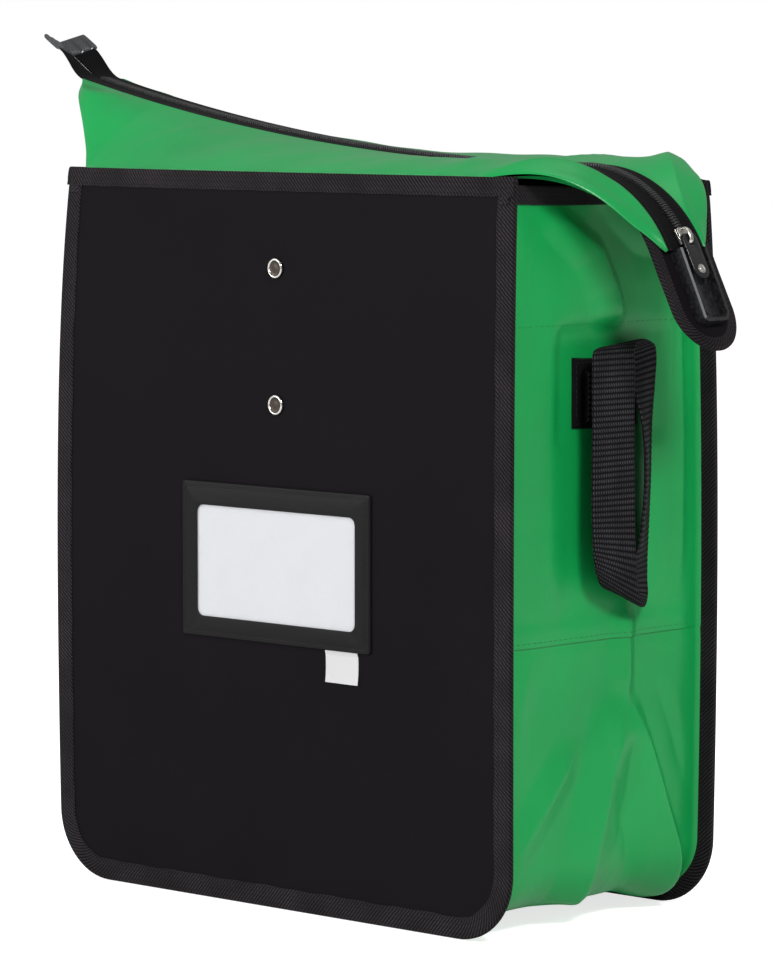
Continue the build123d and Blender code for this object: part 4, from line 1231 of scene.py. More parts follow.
@dataclass
class Gusset:
    """The green strip round both sides and the bottom, in three lengths with lap seams."""

    thickness: float = 1.0
    flange_end: float = 191.6
    flange_depth: float = 2.1
    turn_radius: float = 6.0
    bulge: float = 3.4
    lap: float = 7.0
    corner: float = 30.0
    columns: int = 104

    def wall_line(self, sag: float = 0.0) -> tuple[np.ndarray, np.ndarray]:
        """Section of the gusset: offset out from its wall, and Y, from front flange to back flange."""
        reach = BAG.depth / 2 - self.flange_depth
        out = self.flange_end - BAG.wall
        r = self.turn_radius
        turn = np.linspace(0, math.pi / 2, 8)
        front_x = np.concatenate([np.linspace(out, r, 5)[:-1], r - r * np.sin(turn)])
        front_y = np.concatenate([np.full(4, -reach), -reach + r - r * np.cos(turn)])
        wall_y = np.linspace(front_y[-1], -front_y[-1], self.columns)[1:-1]
        x = np.concatenate([front_x, np.zeros(wall_y.shape), front_x[::-1]])
        y = np.concatenate([front_y, wall_y, -front_y[::-1]])
        return x, y

    def slack(self, y: np.ndarray) -> np.ndarray:
        """How free the sheet is at Y: 0 at the sewn flanges, 1 over most of the wall."""
        reach = BAG.depth / 2 - self.flange_depth - self.turn_radius
        return ease((reach - np.abs(y)) / 16)

    def side_relief(self, y: np.ndarray, z: np.ndarray, creases: Sequence[Crease]) -> np.ndarray:
        """How far a side wall stands out of its plane at (Y, Z)."""
        reach = BAG.depth / 2
        crown = self.bulge * (1 - (y / reach) ** 2) * window(z, 150, 240, 400, 450)
        low = 2.0 * (1 - (y / reach) ** 2) * window(z, 20, 60, 110, 190)
        folds = creased(creases, y, z)
        soft = 0.5 * np.sin(y / 15 + z / 37) * np.sin(z / 29 - y / 49) + 0.25 * np.sin(y / 7.5 - z / 19)
        calm = 1 - window(np.abs(y - 8), -1, 0, 42, 54) * window(z, 284, 298, 354, 366)
        strap = 1 - 0.85 * window(np.abs(y - 4), -1, 0, 32, 52) * window(z, 176, 196, 346, 372)
        return (crown * strap + low + folds * (0.25 + 0.75 * strap) + soft) * self.slack(y) * (0.12 + 0.88 * calm)

    def top_dip(self, y: np.ndarray) -> np.ndarray:
        """How far a side's upper edge sags at Y."""
        return -2.4 * (1 - (y / 92.0) ** 2)

    def stand_out(self, y: np.ndarray, z: np.ndarray, creases: Sequence[Crease]) -> np.ndarray:
        """How far a side above the seam stands out of its plane, held in by its rim tape and lap seam."""
        held = 1 - 0.75 * window(z, 400, 446, 500, 501)
        lap = 0.75 * (1 - ease((z - BAG.seam) / 9))
        return self.side_relief(y, z, creases) * held + lap * self.slack(y)

    def side_sheet(self, name: str, side: Side, creases: Sequence[Crease]) -> bpy.types.Object:
        """Makes one side above the seam."""
        x, y = self.wall_line()
        rows = np.linspace(BAG.seam - self.lap, BAG.height - BAG.rim_drop - 1.0, 150)
        z = np.tile(rows[:, None], (1, len(y)))
        y = np.tile(y, (len(rows), 1))
        dip = self.top_dip(y) * window(z, 400, 446, 500, 501)
        offset = x + self.stand_out(y, z, creases)
        grid = np.stack([(BAG.wall + offset) * side.value, y, z + dip], axis=-1)
        return thicken(surface(name, grid), self.thickness)

    def base_sheet(self, name: str) -> bpy.types.Object:
        """Makes the length below the seams: up one side, across the bottom, up the other."""
        x, y = self.wall_line()
        half, r = BAG.wall, self.corner
        side = np.arange(BAG.seam, BAG.inset + r, -2.0)
        turn = np.linspace(0, math.pi / 2, 24)
        foot = np.arange(half - r, 0, -6.0)[1:]
        px = np.concatenate([np.full(side.shape, half), half - r + r * np.cos(turn), foot])
        pz = np.concatenate([side, BAG.inset + r - r * np.sin(turn), np.full(foot.shape, BAG.inset)])
        nx = np.concatenate([np.ones(side.shape), np.cos(turn), np.zeros(foot.shape)])
        nz = np.concatenate([np.zeros(side.shape), -np.sin(turn), -np.ones(foot.shape)])
        rows = []
        for sign, creases in ((1, RIGHT_CREASES), (-1, LEFT_CREASES)):
            run_z = np.tile(pz[:, None], (1, len(y)))
            run_x = np.tile(px[:, None], (1, len(y)))
            run_y = np.tile(y, (len(px), 1))
            drop = np.maximum(BAG.inset + 8 - run_z, 0) * 0 + run_z
            around = ease((run_x - 128) / 34)
            relief = self.side_relief(run_y, drop, creases) * around
            under = creased(BASE_CREASES, run_x * sign, run_y) * ease((140 - run_x) / 40) * self.slack(run_y)
            lift = -2.2 * (1 - (run_y / 92) ** 2) * ease((150 - run_x) / 60)
            tuck = -0.4 * ease((run_z - BAG.seam + self.lap + 8) / 8)
            out = x[None, :] * (1 - 0.25 * np.tile(np.abs(nx * nz)[:, None], (1, len(y)))) + relief + under + lift + tuck
            rows.append(
                np.stack([sign * (run_x + out * nx[:, None]), run_y, run_z + out * nz[:, None]], axis=-1)
            )
        grid = np.concatenate([rows[0], rows[1][::-1]])
        return thicken(surface(name, grid), self.thickness)

    def seam_rows(self, name: str, side: Side, creases: Sequence[Crease], height: float) -> bpy.types.Object:
        """Makes a row of stitches across a side wall at a height."""
        y = np.linspace(-80, 80, 90)
        z = np.full(y.shape, height)
        relief = self.side_relief(y, z, creases) + 0.75 * self.slack(y) * (1 - ease((z - BAG.seam) / 9))
        line = np.stack([(BAG.wall + relief + 0.08) * side.value, y, z], 1)
        normal = np.tile((side.value, 0.0, 0.0), (len(y), 1))
        return stitches(name, line, normal, 3.0, 1.6, 0.38)

    def build(self) -> None:
        """Builds and installs the three lengths, their seams and stitches."""
        base = install(self.base_sheet("gusset_base_sheet"), "root", GREEN_PVC, ["gusset_base"], angle=50)
        for word, side, creases in (("right", Side.PLUS, RIGHT_CREASES), ("left", Side.MINUS, LEFT_CREASES)):
            wall = self.side_sheet(f"gusset_{word}_sheet", side, creases)
            install(wall, "root", GREEN_PVC, [f"gusset_{word}"], angle=50)
            lower = self.seam_rows(f"gusset_{word}_seam", side, creases, BAG.seam - 4.4)
            upper = self.seam_rows(f"gusset_{word}_upper_row", side, creases, 362.0)
            for row in (lower, upper):
                install(row, "root", GREEN_THREAD)


# ---------------------------------------------------------------------------
# Rim
# ---------------------------------------------------------------------------
@dataclass
class Rim:
    """Twill tape folded over the mouth of the bag: two long runs and two short ones."""

    leg: float = 11.0
    thickness: float = 0.85

    def section(self) -> np.ndarray:
        """Section of the folded tape: out from the sheet's face, and up from its top edge."""
        t = self.thickness
        outer = [(0.0, -self.leg), (t * 0.8, -self.leg), (t, -self.leg + 0.4), (t * 0.85, -8.6), (t * 1.15, -6), (t * 1.1, -2.2)]
        outer += [(t * 0.9, -0.6), (t * 0.3, 0.25), (-1.2, 0.45), (-2.6, 0.25), (-3.1, -0.6), (-3.3, -3), (-3.2, -self.leg)]
        inner = [(-2.4, -self.leg), (-2.4, -0.9), (-1.2, -0.5), (0.0, -0.9)]
        return np.array(outer + inner)

    def swept(self, name: str, path: np.ndarray, outs: np.ndarray) -> bpy.types.Object:
        """Sweeps the tape's section along a path with outward directions."""
        section = self.section()
        waver = 1 + 0.012 * np.sin(np.arange(len(path)) * 0.55)[:, None]
        grid = path[:, None, :] + outs[:, None, :] * section[None, :, :1]
        grid[..., 2] += section[None, :, 1] * waver
        return outward(surface(name, grid, (False, True)))

    def panel_run(self, name: str, side: Side) -> bpy.types.Object:
        """Makes the run over a panel, riding up over the edge tape at both ends."""
        half = BAG.width / 2
        x = np.linspace(-half - 0.3, half + 0.3, 150)
        proud = 0.9 * ease((np.abs(x) - half + 16) / 3.5)
        y = (BAG.depth / 2 - BAG.cover_face + proud) * side.value
        path = np.stack([x, y, BAG.height - 0.35 + 0.35 * proud], 1)
        out = np.tile((0.0, side.value, 0.0), (len(x), 1))
        return self.swept(name, path, out)

    def side_run(self, name: str, side: Side, creases: Sequence[Crease]) -> bpy.types.Object:
        """Makes the run over a side, turning out to the panels at both ends and dipping between."""
        gusset = Gusset(columns=60)
        off, y = gusset.wall_line()
        off, y = off[2:-2], y[2:-2]
        way = np.gradient(np.stack([off, y], 1), axis=0)
        way /= np.linalg.norm(way, axis=1, keepdims=True)
        section = self.section()
        z = BAG.height - BAG.rim_drop - 0.4 + section[None, :, 1] + gusset.top_dip(y)[:, None]
        wide = np.tile(y[:, None], (1, len(section)))
        stand = gusset.stand_out(wide, z, creases) + 0.15 + section[None, :, 0]
        grid_x = BAG.wall + off[:, None] + way[:, 1, None] * stand
        grid_y = wide - way[:, 0, None] * stand
        grid = np.stack([grid_x * side.value, grid_y, z], axis=-1)
        return outward(surface(name, grid, (False, True)))

    def build(self) -> None:
        """Builds and installs the four runs."""
        for word, side in (("front", Side.MINUS), ("back", Side.PLUS)):
            run = install(self.panel_run(f"rim_tape_{word}", side), "root", TWILL, [f"rim_binding_{word}"])
            half = BAG.width / 2
            x = np.linspace(-half + 2, half - 2, 90)
            proud = 0.9 * ease((np.abs(x) - half + 16) / 3.5)
            y = (BAG.depth / 2 - BAG.cover_face + proud + 0.78) * side.value
            line = np.stack([x, y, np.full(x.shape, BAG.height - 9.0)], 1)
            row = stitches(f"rim_stitches_{word}", line, np.tile((0.0, side.value, 0.0), (90, 1)), 2.6, 0.9, 0.5)
            install(row, "root", THREAD)
        for word, side in (("right", Side.PLUS), ("left", Side.MINUS)):
            creases = RIGHT_CREASES if side is Side.PLUS else LEFT_CREASES
            run = install(self.side_run(f"rim_tape_{word}", side, creases), "root", TWILL, [f"rim_binding_{word}"])


# ---------------------------------------------------------------------------
# Zipped closure
# ---------------------------------------------------------------------------
@dataclass
class Closure:
    """The two green sheets that rise from the rim to the zipper, with ears at both ends."""

    thickness: float = 0.6
    reach: float = 90.5
    tip: float = 17.5
    side_x: float = 179.0
    hem: float = 12.0
    columns: int = 34
    creases: tuple[Crease, ...] = (
        Crease(((14, 0.0), (30, 0.4), (46, 1.0)), 2.6, (14, 18), 1.4, (0.2, 0.2)),
        Crease(((90, 0.0), (120, 0.6), (130, 1.0)), 1.6, (26, 22), 1.5, (0.3, 0.3)),
        Crease(((418, 0.0), (440, 0.35), (468, 0.7), (500, 1.0)), 2.6, (20, 16), 1.4, (0.25, 0.25)),
        Crease(((400, 0.05), (384, 0.5), (372, 1.0)), 2.0, (22, 20), 1.5, (0.3, 0.3)),
    )

    def ear_lift(self, share: np.ndarray) -> np.ndarray:
        """How high the right ear's fold stands over the ridge's own surface, by its share of the turn."""
        return -5.0 + 4.4 * share + 5.6 * np.abs(np.sin(np.pi * np.clip(share / 0.8, 0, 1))) ** 1.3

    def stations(self) -> tuple[np.ndarray, np.ndarray]:
        """Distances along the ridge, and the fold or rim point facing each, for the front sheet."""
        rise = np.linspace(0, 1, 26)[:-1]
        left_fold = spline([(-250.0, -17.5, 503.6), (-226.0, -46.0, 491.0), (-203.0, -70.0, 473.0), (-179.0, -90.5, 450.0)], 26)[:-1]
        left_run = (left_fold[:, 0] - BAG.left_end) * 1.0
        main_x = np.linspace(-self.side_x, BAG.ridge_x, 110)[:-1]
        main_fold = np.stack([main_x, np.full(main_x.shape, -self.reach), np.full(main_x.shape, BAG.height)], 1)
        main_run = BAG.sag * (BAG.left_slope - np.arcsin((BAG.ridge_x - main_x) / BAG.sag))
        turn = np.linspace(0, BAG.droop_angle, 52)
        share = turn / BAG.droop_angle
        fold_y = -(self.reach + (self.tip - self.reach) * share ** 1.06)
        lift = self.ear_lift(share)
        right_run = BAG.sag_length + turn * BAG.droop
        right_fold = ridge(right_run, fold_y, lift)
        left_run = BAG.sag * (BAG.left_slope - np.arcsin((BAG.ridge_x - left_fold[:, 0]) / BAG.sag)) + 0 * rise
        return np.concatenate([left_run, main_run, right_run]), np.concatenate([left_fold, main_fold, right_fold])

    def sheet_grid(self) -> np.ndarray:
        """Points of the front sheet, from its hem over the fold or rim up to the zipper."""
        run, fold = self.stations()
        top = ridge(run, -BAG.tape_edge, 0.35)
        along = np.gradient(top, axis=0)
        rise = top - fold
        normal = np.cross(along, rise)
        normal /= np.linalg.norm(normal, axis=1, keepdims=True)
        normal *= np.sign(normal[:, 2:3] + 1e-9)
        share = np.linspace(0, 1, self.columns)
        body = fold[:, None, :] + rise[:, None, :] * share[None, :, None]
        s, t = np.broadcast_arrays(run[:, None], share[None, :])
        crest = 3.0 + 2.5 * window(run, 250, 380, 440, 500) + 1.5 * window(run, -20, 10, 60, 120)
        puff = crest[:, None] * np.sin(np.pi * share[None, :] ** 0.85) ** 0.9
        width = np.linalg.norm(rise, axis=1)[:, None]
        flat_creases = [
            Crease(tuple((a, b * 70) for a, b in c.path), c.rise, c.reach, c.sharp, c.fade) for c in self.creases
        ]
        folds = creased(flat_creases, s * 1.0, t * 70.0) * np.sin(np.pi * t) ** 0.5
        soft = 0.5 * np.sin(s / 17 + t * 3) * np.sin(np.pi * t) + 0.35 * np.sin(s / 8.3 - t * 5) * np.sin(np.pi * t)
        body = body + normal[:, None, :] * (puff * np.clip(width / 60, 0.25, 1.2) + folds + soft)[..., None]
        inward = rise / np.linalg.norm(rise, axis=1, keepdims=True)
        inside = ((fold[:, 0] > -self.side_x - 0.1) & (run <= BAG.sag_length)).astype(float)[:, None]
        blend = inside * ease((run[:, None] - 0) / 1)
        down = np.array([[0.0, 0.0, -1.0]])
        reach = np.minimum(self.hem, 0.7 * np.linalg.norm(rise, axis=1, keepdims=True))
        hem = []
        for step in np.linspace(1, 0, 6)[:-1]:
            column = reach * step / np.linalg.norm(rise, axis=1, keepdims=True) * (self.columns - 1)
            near = np.floor(column).astype(int)
            rows = np.arange(len(body))[:, None]
            over = body[rows, near] * (1 - (column - near))[..., None] + body[rows, near + 1] * (column - near)[..., None]
            under = over[:, 0] - normal * 1.15
            hem.append(under * (1 - blend) + (fold + down * self.hem * step) * blend)
        lip = fold - (inward * 0.5 + normal * 0.6) * (1 - blend)
        return np.concatenate([np.stack(hem, axis=1), lip[:, None, :], body], axis=1)

    def gore_grid(self) -> np.ndarray:
        """Points of the right gore, the sheet that folds in under the right ear."""
        share = np.linspace(0, 1, 40)
        turn = np.radians(7.0 + 53.0 * share)
        half = 79.0 + (11.0 - 79.0) * share
        v = np.linspace(-1, 1, 50)
        s = BAG.sag_length + turn * BAG.droop
        edge = 2.6 - self.ear_lift(turn / BAG.droop_angle)
        middle = 6.2 + 5.0 * np.sin(np.pi * share)
        sink = edge[:, None] + (middle - edge)[:, None] * np.abs(np.cos(v * math.pi / 2))[None, :] ** 0.7
        return ridge(s[:, None], half[:, None] * v[None, :], -sink)

    def left_gore_grid(self) -> np.ndarray:
        """Points of the left gore, the sheet that closes the standing left ear."""
        share = np.linspace(0, 1, 30)
        x = -self.side_x + (BAG.left_end + self.side_x + 1.0) * share
        out = -np.array([self.side_x, 203.0, 226.0, 250.0])[::-1]
        half = np.interp(x, out, (17.5, 46.0, 70.0, 90.5)) - 1.2
        v = np.linspace(-1, 1, 50)
        z = np.interp(x, out, (503.6, 491.0, 473.0, 450.0)) - 2.0
        grid_x = np.tile(x[:, None], (1, 50))
        tuck = 5.0 * np.sin(np.pi * share)[:, None] * np.cos(v * math.pi / 2)[None, :] - 1.5 * share[:, None]
        return np.stack([grid_x, half[:, None] * v[None, :], z[:, None] + tuck], axis=-1)

    def build(self) -> None:
        """Builds and installs both sheets and both gores."""
        grid = self.sheet_grid()
        front = thicken(surface("closure_sheet_front", grid), self.thickness, (0.0, -40.0, 300.0))
        back = copied(front, "closure_sheet_back", MIRROR_Y)
        for word, sheet in (("front", front), ("back", back)):
            install(sheet, "root", GREEN_PVC, [f"closure_{word}"], angle=60)
        for word, points, flat, area in (
            ("right", self.gore_grid(), (0.178, 0.085), 0.0086),
            ("left", self.left_gore_grid(), (0.178, 0.09), 0.0095),
        ):
            gore = thicken(surface(f"end_gore_sheet_{word}", points), 0.8, (0.0, 0.0, 600.0))
            install(gore, "root", GREEN_PVC, [f"end_gore_{word}"], angle=60)


# ---------------------------------------------------------------------------
# Zipper
# ---------------------------------------------------------------------------
@dataclass
class Zipper:
    """Tapes, meshed teeth and the sealed tail end."""

    pitch: float = 1.9
    tooth: float = 1.15
    tape_in: float = 0.5
    splay: float = 0.42

    def leaning(self, s: np.ndarray, points: np.ndarray) -> np.ndarray:
        """Leans the tail's points outwards, more towards its tip."""
        tail = BAG.tail_radius * BAG.tail_turn + BAG.tail_length
        share = np.clip(-s / tail, 0, 1.4)[:, None, None] ** 1.3
        return points + share * np.array([-9.5, 0.0, 1.5])

    def tape(self, name: str, side: Side) -> bpy.types.Object:
        """Makes one tape, from the tip of the tail to the end of the droop."""
        tail = BAG.tail_radius * BAG.tail_turn + BAG.tail_length
        s = np.concatenate([np.linspace(-tail - 9, 0, 26)[:-1], np.linspace(0, BAG.ridge_length, 230)])
        section = [(0.5, 0.0), (0.9, 0.42), (3.4, 0.5), (4.6, 0.42), (9.0, 0.46), (13.4, 0.5), (14.4, 0.62), (15.9, 0.6)]
        section += [(16.5, 0.3), (16.6, -0.1), (16.2, -0.4), (9.0, -0.42), (3.0, -0.42), (0.7, -0.35)]
        section = np.array(section)
        spread = ease(-s / tail)[:, None]
        y, h = np.tile(section[:, 0], (len(s), 1)), np.tile(section[:, 1], (len(s), 1))
        lift = h + spread * y * self.splay + 0.35 * np.sin(s / 9.0)[:, None] * (y / 16.5) * spread
        grid = self.leaning(s, ridge(s[:, None], (y - spread * 0.05 * y) * side.value, lift))
        return outward(surface(name, grid, (False, True)))

    def teeth(self, name: str, side: Side) -> bpy.types.Object:
        """Makes one side's row of teeth, each a bevelled bar from the tape to the middle."""
        seed = block("tooth_seed", (-self.tooth / 2, -0.15, 0.35), (self.tooth / 2, 3.3, 2.1))
        with editing(seed):
            pick(seed, Element.EDGE, lambda at, way: abs(way.y) > 0.9 and at.z > 1)
            bpy.ops.mesh.bevel(offset=0.35 * MM, segments=2, affect="EDGES")
            pick(seed, Element.EDGE, lambda at, way: at.y < 0 and at.z > 1.9)
            bpy.ops.mesh.bevel(offset=0.3 * MM, segments=1, affect="EDGES")
        shape = np.array([v.co for v in seed.data.vertices]) / MM
        seed_faces = [list(p.vertices) for p in seed.data.polygons]
        bpy.data.objects.remove(seed)
        end = BAG.sag_length + math.radians(60.0) * BAG.droop
        places = np.arange(2.0 + (self.pitch / 2 if side is Side.PLUS else 0), end - 1, self.pitch)
        verts, faces = [], []
        for place in places:
            base = len(verts) * len(shape)
            verts.append(ridge(place + shape[:, 0], shape[:, 1] * side.value, shape[:, 2]))
            faces.extend([[base + i for i in f] for f in seed_faces])
        mesh = bpy.data.meshes.new(name)
        mesh.from_pydata((np.concatenate(verts) * MM).tolist(), [], faces)
        obj = bpy.data.objects.new(name, mesh)
        bpy.context.scene.collection.objects.link(obj)
        return outward(obj)

    def seal(self) -> bpy.types.Object:
        """Makes the glossy sealed end that holds the two splayed tapes in a shallow V."""
        tail = BAG.tail_radius * BAG.tail_turn + BAG.tail_length
        s = np.linspace(-tail - 10.2, -tail + 1.5, 16)
        v = np.linspace(-1, 1, 41)
        y = v * 17.4
        fold = np.abs(v) * 17.0 * self.splay
        wrinkle = 0.35 * np.sin(v * 17) + 0.25 * np.sin(v * 31 + 1)
        ends = np.sqrt(np.clip(1 - (np.abs((s - s.mean()) / (s[-1] - s.mean())) ** 6), 0, 1))[:, None]
        top = ridge(s[:, None], y[None, :] * 0.97, fold[None, :] + 0.2 + (1.3 + wrinkle[None, :]) * ends)
        low = ridge(s[:, None], y[None, :] * 0.97, fold[None, :] - 0.2 - (1.1 + 0.6 * wrinkle[None, :]) * ends)
        grid = self.leaning(s, np.concatenate([top, low[:, ::-1]], axis=1))
        return outward(surface("sealed_tail_end", grid, (False, True)))

    def build(self) -> None:
        """Builds and installs tapes, teeth and the tail's end."""
        for word, side in (("front", Side.MINUS), ("back", Side.PLUS)):
            tape = install(self.tape(f"zip_tape_{word}", side), "root", ZIP_TAPE, [f"zipper_tape_{word}"])
            row = install(self.teeth(f"zip_teeth_{word}", side), "root", COIL, [f"zipper_coil_{word}"])
            s = np.linspace(2, BAG.ridge_length, 200)
            line = ridge(s, 13.9 * side.value, 0.62)
            normal = ridge(s, 13.9 * side.value, 2.0) - ridge(s, 13.9 * side.value, 1.0)
            sewn = install(stitches(f"zip_stitches_{word}", line, normal, 2.4, 0.9, 0.45), "root", THREAD)
        install(self.seal(), "root", SEAL_GREY, ["zipper_tail_end"])


# ---------------------------------------------------------------------------
# Lock tongue, housing, slider and puller
# ---------------------------------------------------------------------------
@dataclass
class LockTongue:
    """The black flap under the right ear, its ridged tape and the seal housing riveted on it."""

    start: float = math.radians(36.0)
    half: float = 27.0
    length: float = 63.0
    top: float = -2.6
    thickness: float = 1.4
    tape: float = 8.0
    housing: tuple[float, float] = (0.6, 47.0)
    housing_half: float = 12.0
    rail: float = 2.2
    floor: float = 1.4
    rail_height: float = 7.2

    def edge_line(self, inset: float, count: int = 90) -> tuple[np.ndarray, np.ndarray]:
        """The tongue's U-shaped edge: distance from its start, and Y, some way inside the edge."""
        run = BAG.droop_length - self.start * BAG.droop + self.length
        r = self.half
        straight = np.linspace(0, run - r, 42)[:-1]
        turn = np.linspace(0, math.pi, count - 82)
        s = np.concatenate([straight, run - r + (r - inset) * np.sin(turn), straight[::-1]])
        y = np.concatenate([np.full(41, -(r - inset)), -(r - inset) * np.cos(turn), np.full(41, r - inset)])
        return s, y

    def point(self, run: np.ndarray, y: np.ndarray, lift: np.ndarray) -> np.ndarray:
        """Points on the tongue: distance from its start, Y, and height over its upper face."""
        s = BAG.sag_length + self.start * BAG.droop + run
        cup = -0.0016 * y**2 * ease(run / 60)
        return ridge(s, y, self.top + lift + cup)

    def flap(self) -> bpy.types.Object:
        """Makes the flap's sheet."""
        run = BAG.droop_length - self.start * BAG.droop + self.length
        r = self.half - 0.4
        straight = np.linspace(0, run - self.half, 40)
        turn = np.linspace(0, math.pi / 2, 16)[1:]
        s = np.concatenate([straight, run - self.half + r * np.sin(turn)])
        half = np.concatenate([np.full(40, r), r * np.cos(turn)])
        half = np.maximum(half, 0.6)
        v = np.linspace(-1, 1, 31)
        grid = self.point(s[:, None] + 0 * v[None, :], half[:, None] * v[None, :], np.zeros((len(s), 31)))
        return thicken(surface("tongue_flap_sheet", grid), self.thickness, (150.0, 0.0, 300.0))

    def ridged_tape(self) -> bpy.types.Object:
        """Makes the tape folded round the flap's edge, with raised lines that run along it."""
        insets = [8.0, 7.6, 6.8, 6.0, 5.2, 4.4, 3.6, 2.8, 2.0, 1.2, 0.5, 0.0]
        tops = [0.15, 0.6, 0.85, 0.5, 0.9, 0.5, 0.92, 0.5, 0.95, 0.6, 0.5, -0.1]
        section = list(zip(insets, tops))
        section += [(-0.1, -0.8), (0.3, -1.7), (2.0, -2.05), (5.0, -2.0), (8.0, -2.0), (8.0, -1.45), (1.0, -1.42), (1.0, 0.02), (8.0, 0.02)]
        rows = []
        for inset, lift in section:
            s, y = self.edge_line(inset, 130)
            rows.append(self.point(s, y, np.full(s.shape, lift)))
        return outward(surface("tongue_ridged_tape", np.stack(rows, axis=1), (False, True)))

    def housing_shell(self) -> bpy.types.Object:
        """Makes the seal housing: a tray with two rails and a low rounded end, open to the slider."""
        start, end = self.housing
        base = self.top
        shell = block(
            "seal_housing_shell",
            (start, -self.housing_half, base),
            (end, self.housing_half, base + self.floor + self.rail_height),
        )
        with editing(shell):
            pick(shell, Element.EDGE, lambda at, way: abs(way.z) > 0.9 and at.x > end - 1)
            bpy.ops.mesh.bevel(offset=5.0 * MM, segments=6, affect="EDGES")
            pick(shell, Element.FACE, lambda at, way: way.z > 0.9)
            bpy.ops.mesh.inset(thickness=self.rail * MM, depth=0.0)
            bpy.ops.mesh.extrude_region_move(
                TRANSFORM_OT_translate={"value": (0, 0, -self.rail_height * MM)}
            )
        with editing(shell):
            pick(shell, Element.FACE, lambda at, way: way.x < -0.5 and at.x < start + 0.1 and at.z > base + 3)
            bpy.ops.mesh.delete(type="FACE")
        low_end = shell
        for vertex in low_end.data.vertices:
            x, y, z = (c / MM for c in vertex.co)
            if x < start + self.rail + 0.05 and z > base + self.floor + 0.1 and abs(y) < self.housing_half - self.rail + 0.1:
                vertex.co.x = start * MM
            if z > base + self.floor + 0.1:
                drop = 2.2 * float(ease((x - end + 12) / 12))
                vertex.co.z -= drop * MM
        outward(shell)
        modified(shell, "BEVEL", width=0.55 * MM, segments=3, limit_method="ANGLE", angle_limit=math.radians(40))
        return shell

    def housing_highlight_strip(self) -> bpy.types.Object:
        """Makes the light grey strip inside the housing, beside the puller's track: a painted highlight where the
        housing's floor catches the light.
        """
        start, end = self.housing
        z = self.top + self.floor
        strip = block("seal_housing_highlight_strip", (start + 1.0, -9.6, z), (end - 3.2, -6.8, z + 2.6))
        with editing(strip):
            pick(strip, Element.EDGE, lambda at, way: at.z > z + 2.5)
            bpy.ops.mesh.bevel(offset=0.6 * MM, segments=3, affect="EDGES")
        return strip

    def build(self, frame: dict) -> None:
        """Builds and installs the flap, its tape and the housing; hidden fixings keep their CAD meshes."""
        flap = install(self.flap(), "root", BLACK_COVER, ["lock_tongue"])
        tape = install(self.ridged_tape(), "root", TWILL, ["tongue_binding"], angle=70)
        shell = settle(self.housing_shell(), BAG.tongue_matrix)
        # Upward faces along the left rail take the light grey finish: a painted highlight on the rail
        install(
            shell, "root", [LOCK_PLASTIC, LOCK_PAINTED_HIGHLIGHT], ["seal_housing"], angle=35,
            choose=lambda at, way: int(at.y < -9.9 and way.x + way.z > 0.7),
        )
        # Painted highlight: the light grey strip stands for the light on the housing's floor
        install(settle(self.housing_highlight_strip(), BAG.tongue_matrix), "root", LOCK_PAINTED_HIGHLIGHT, angle=35)
        mark(frame["nodes"]["housing_backplate"], [NICKEL])
        mark(frame["nodes"]["housing_rivets"], [LOCK_PLASTIC])


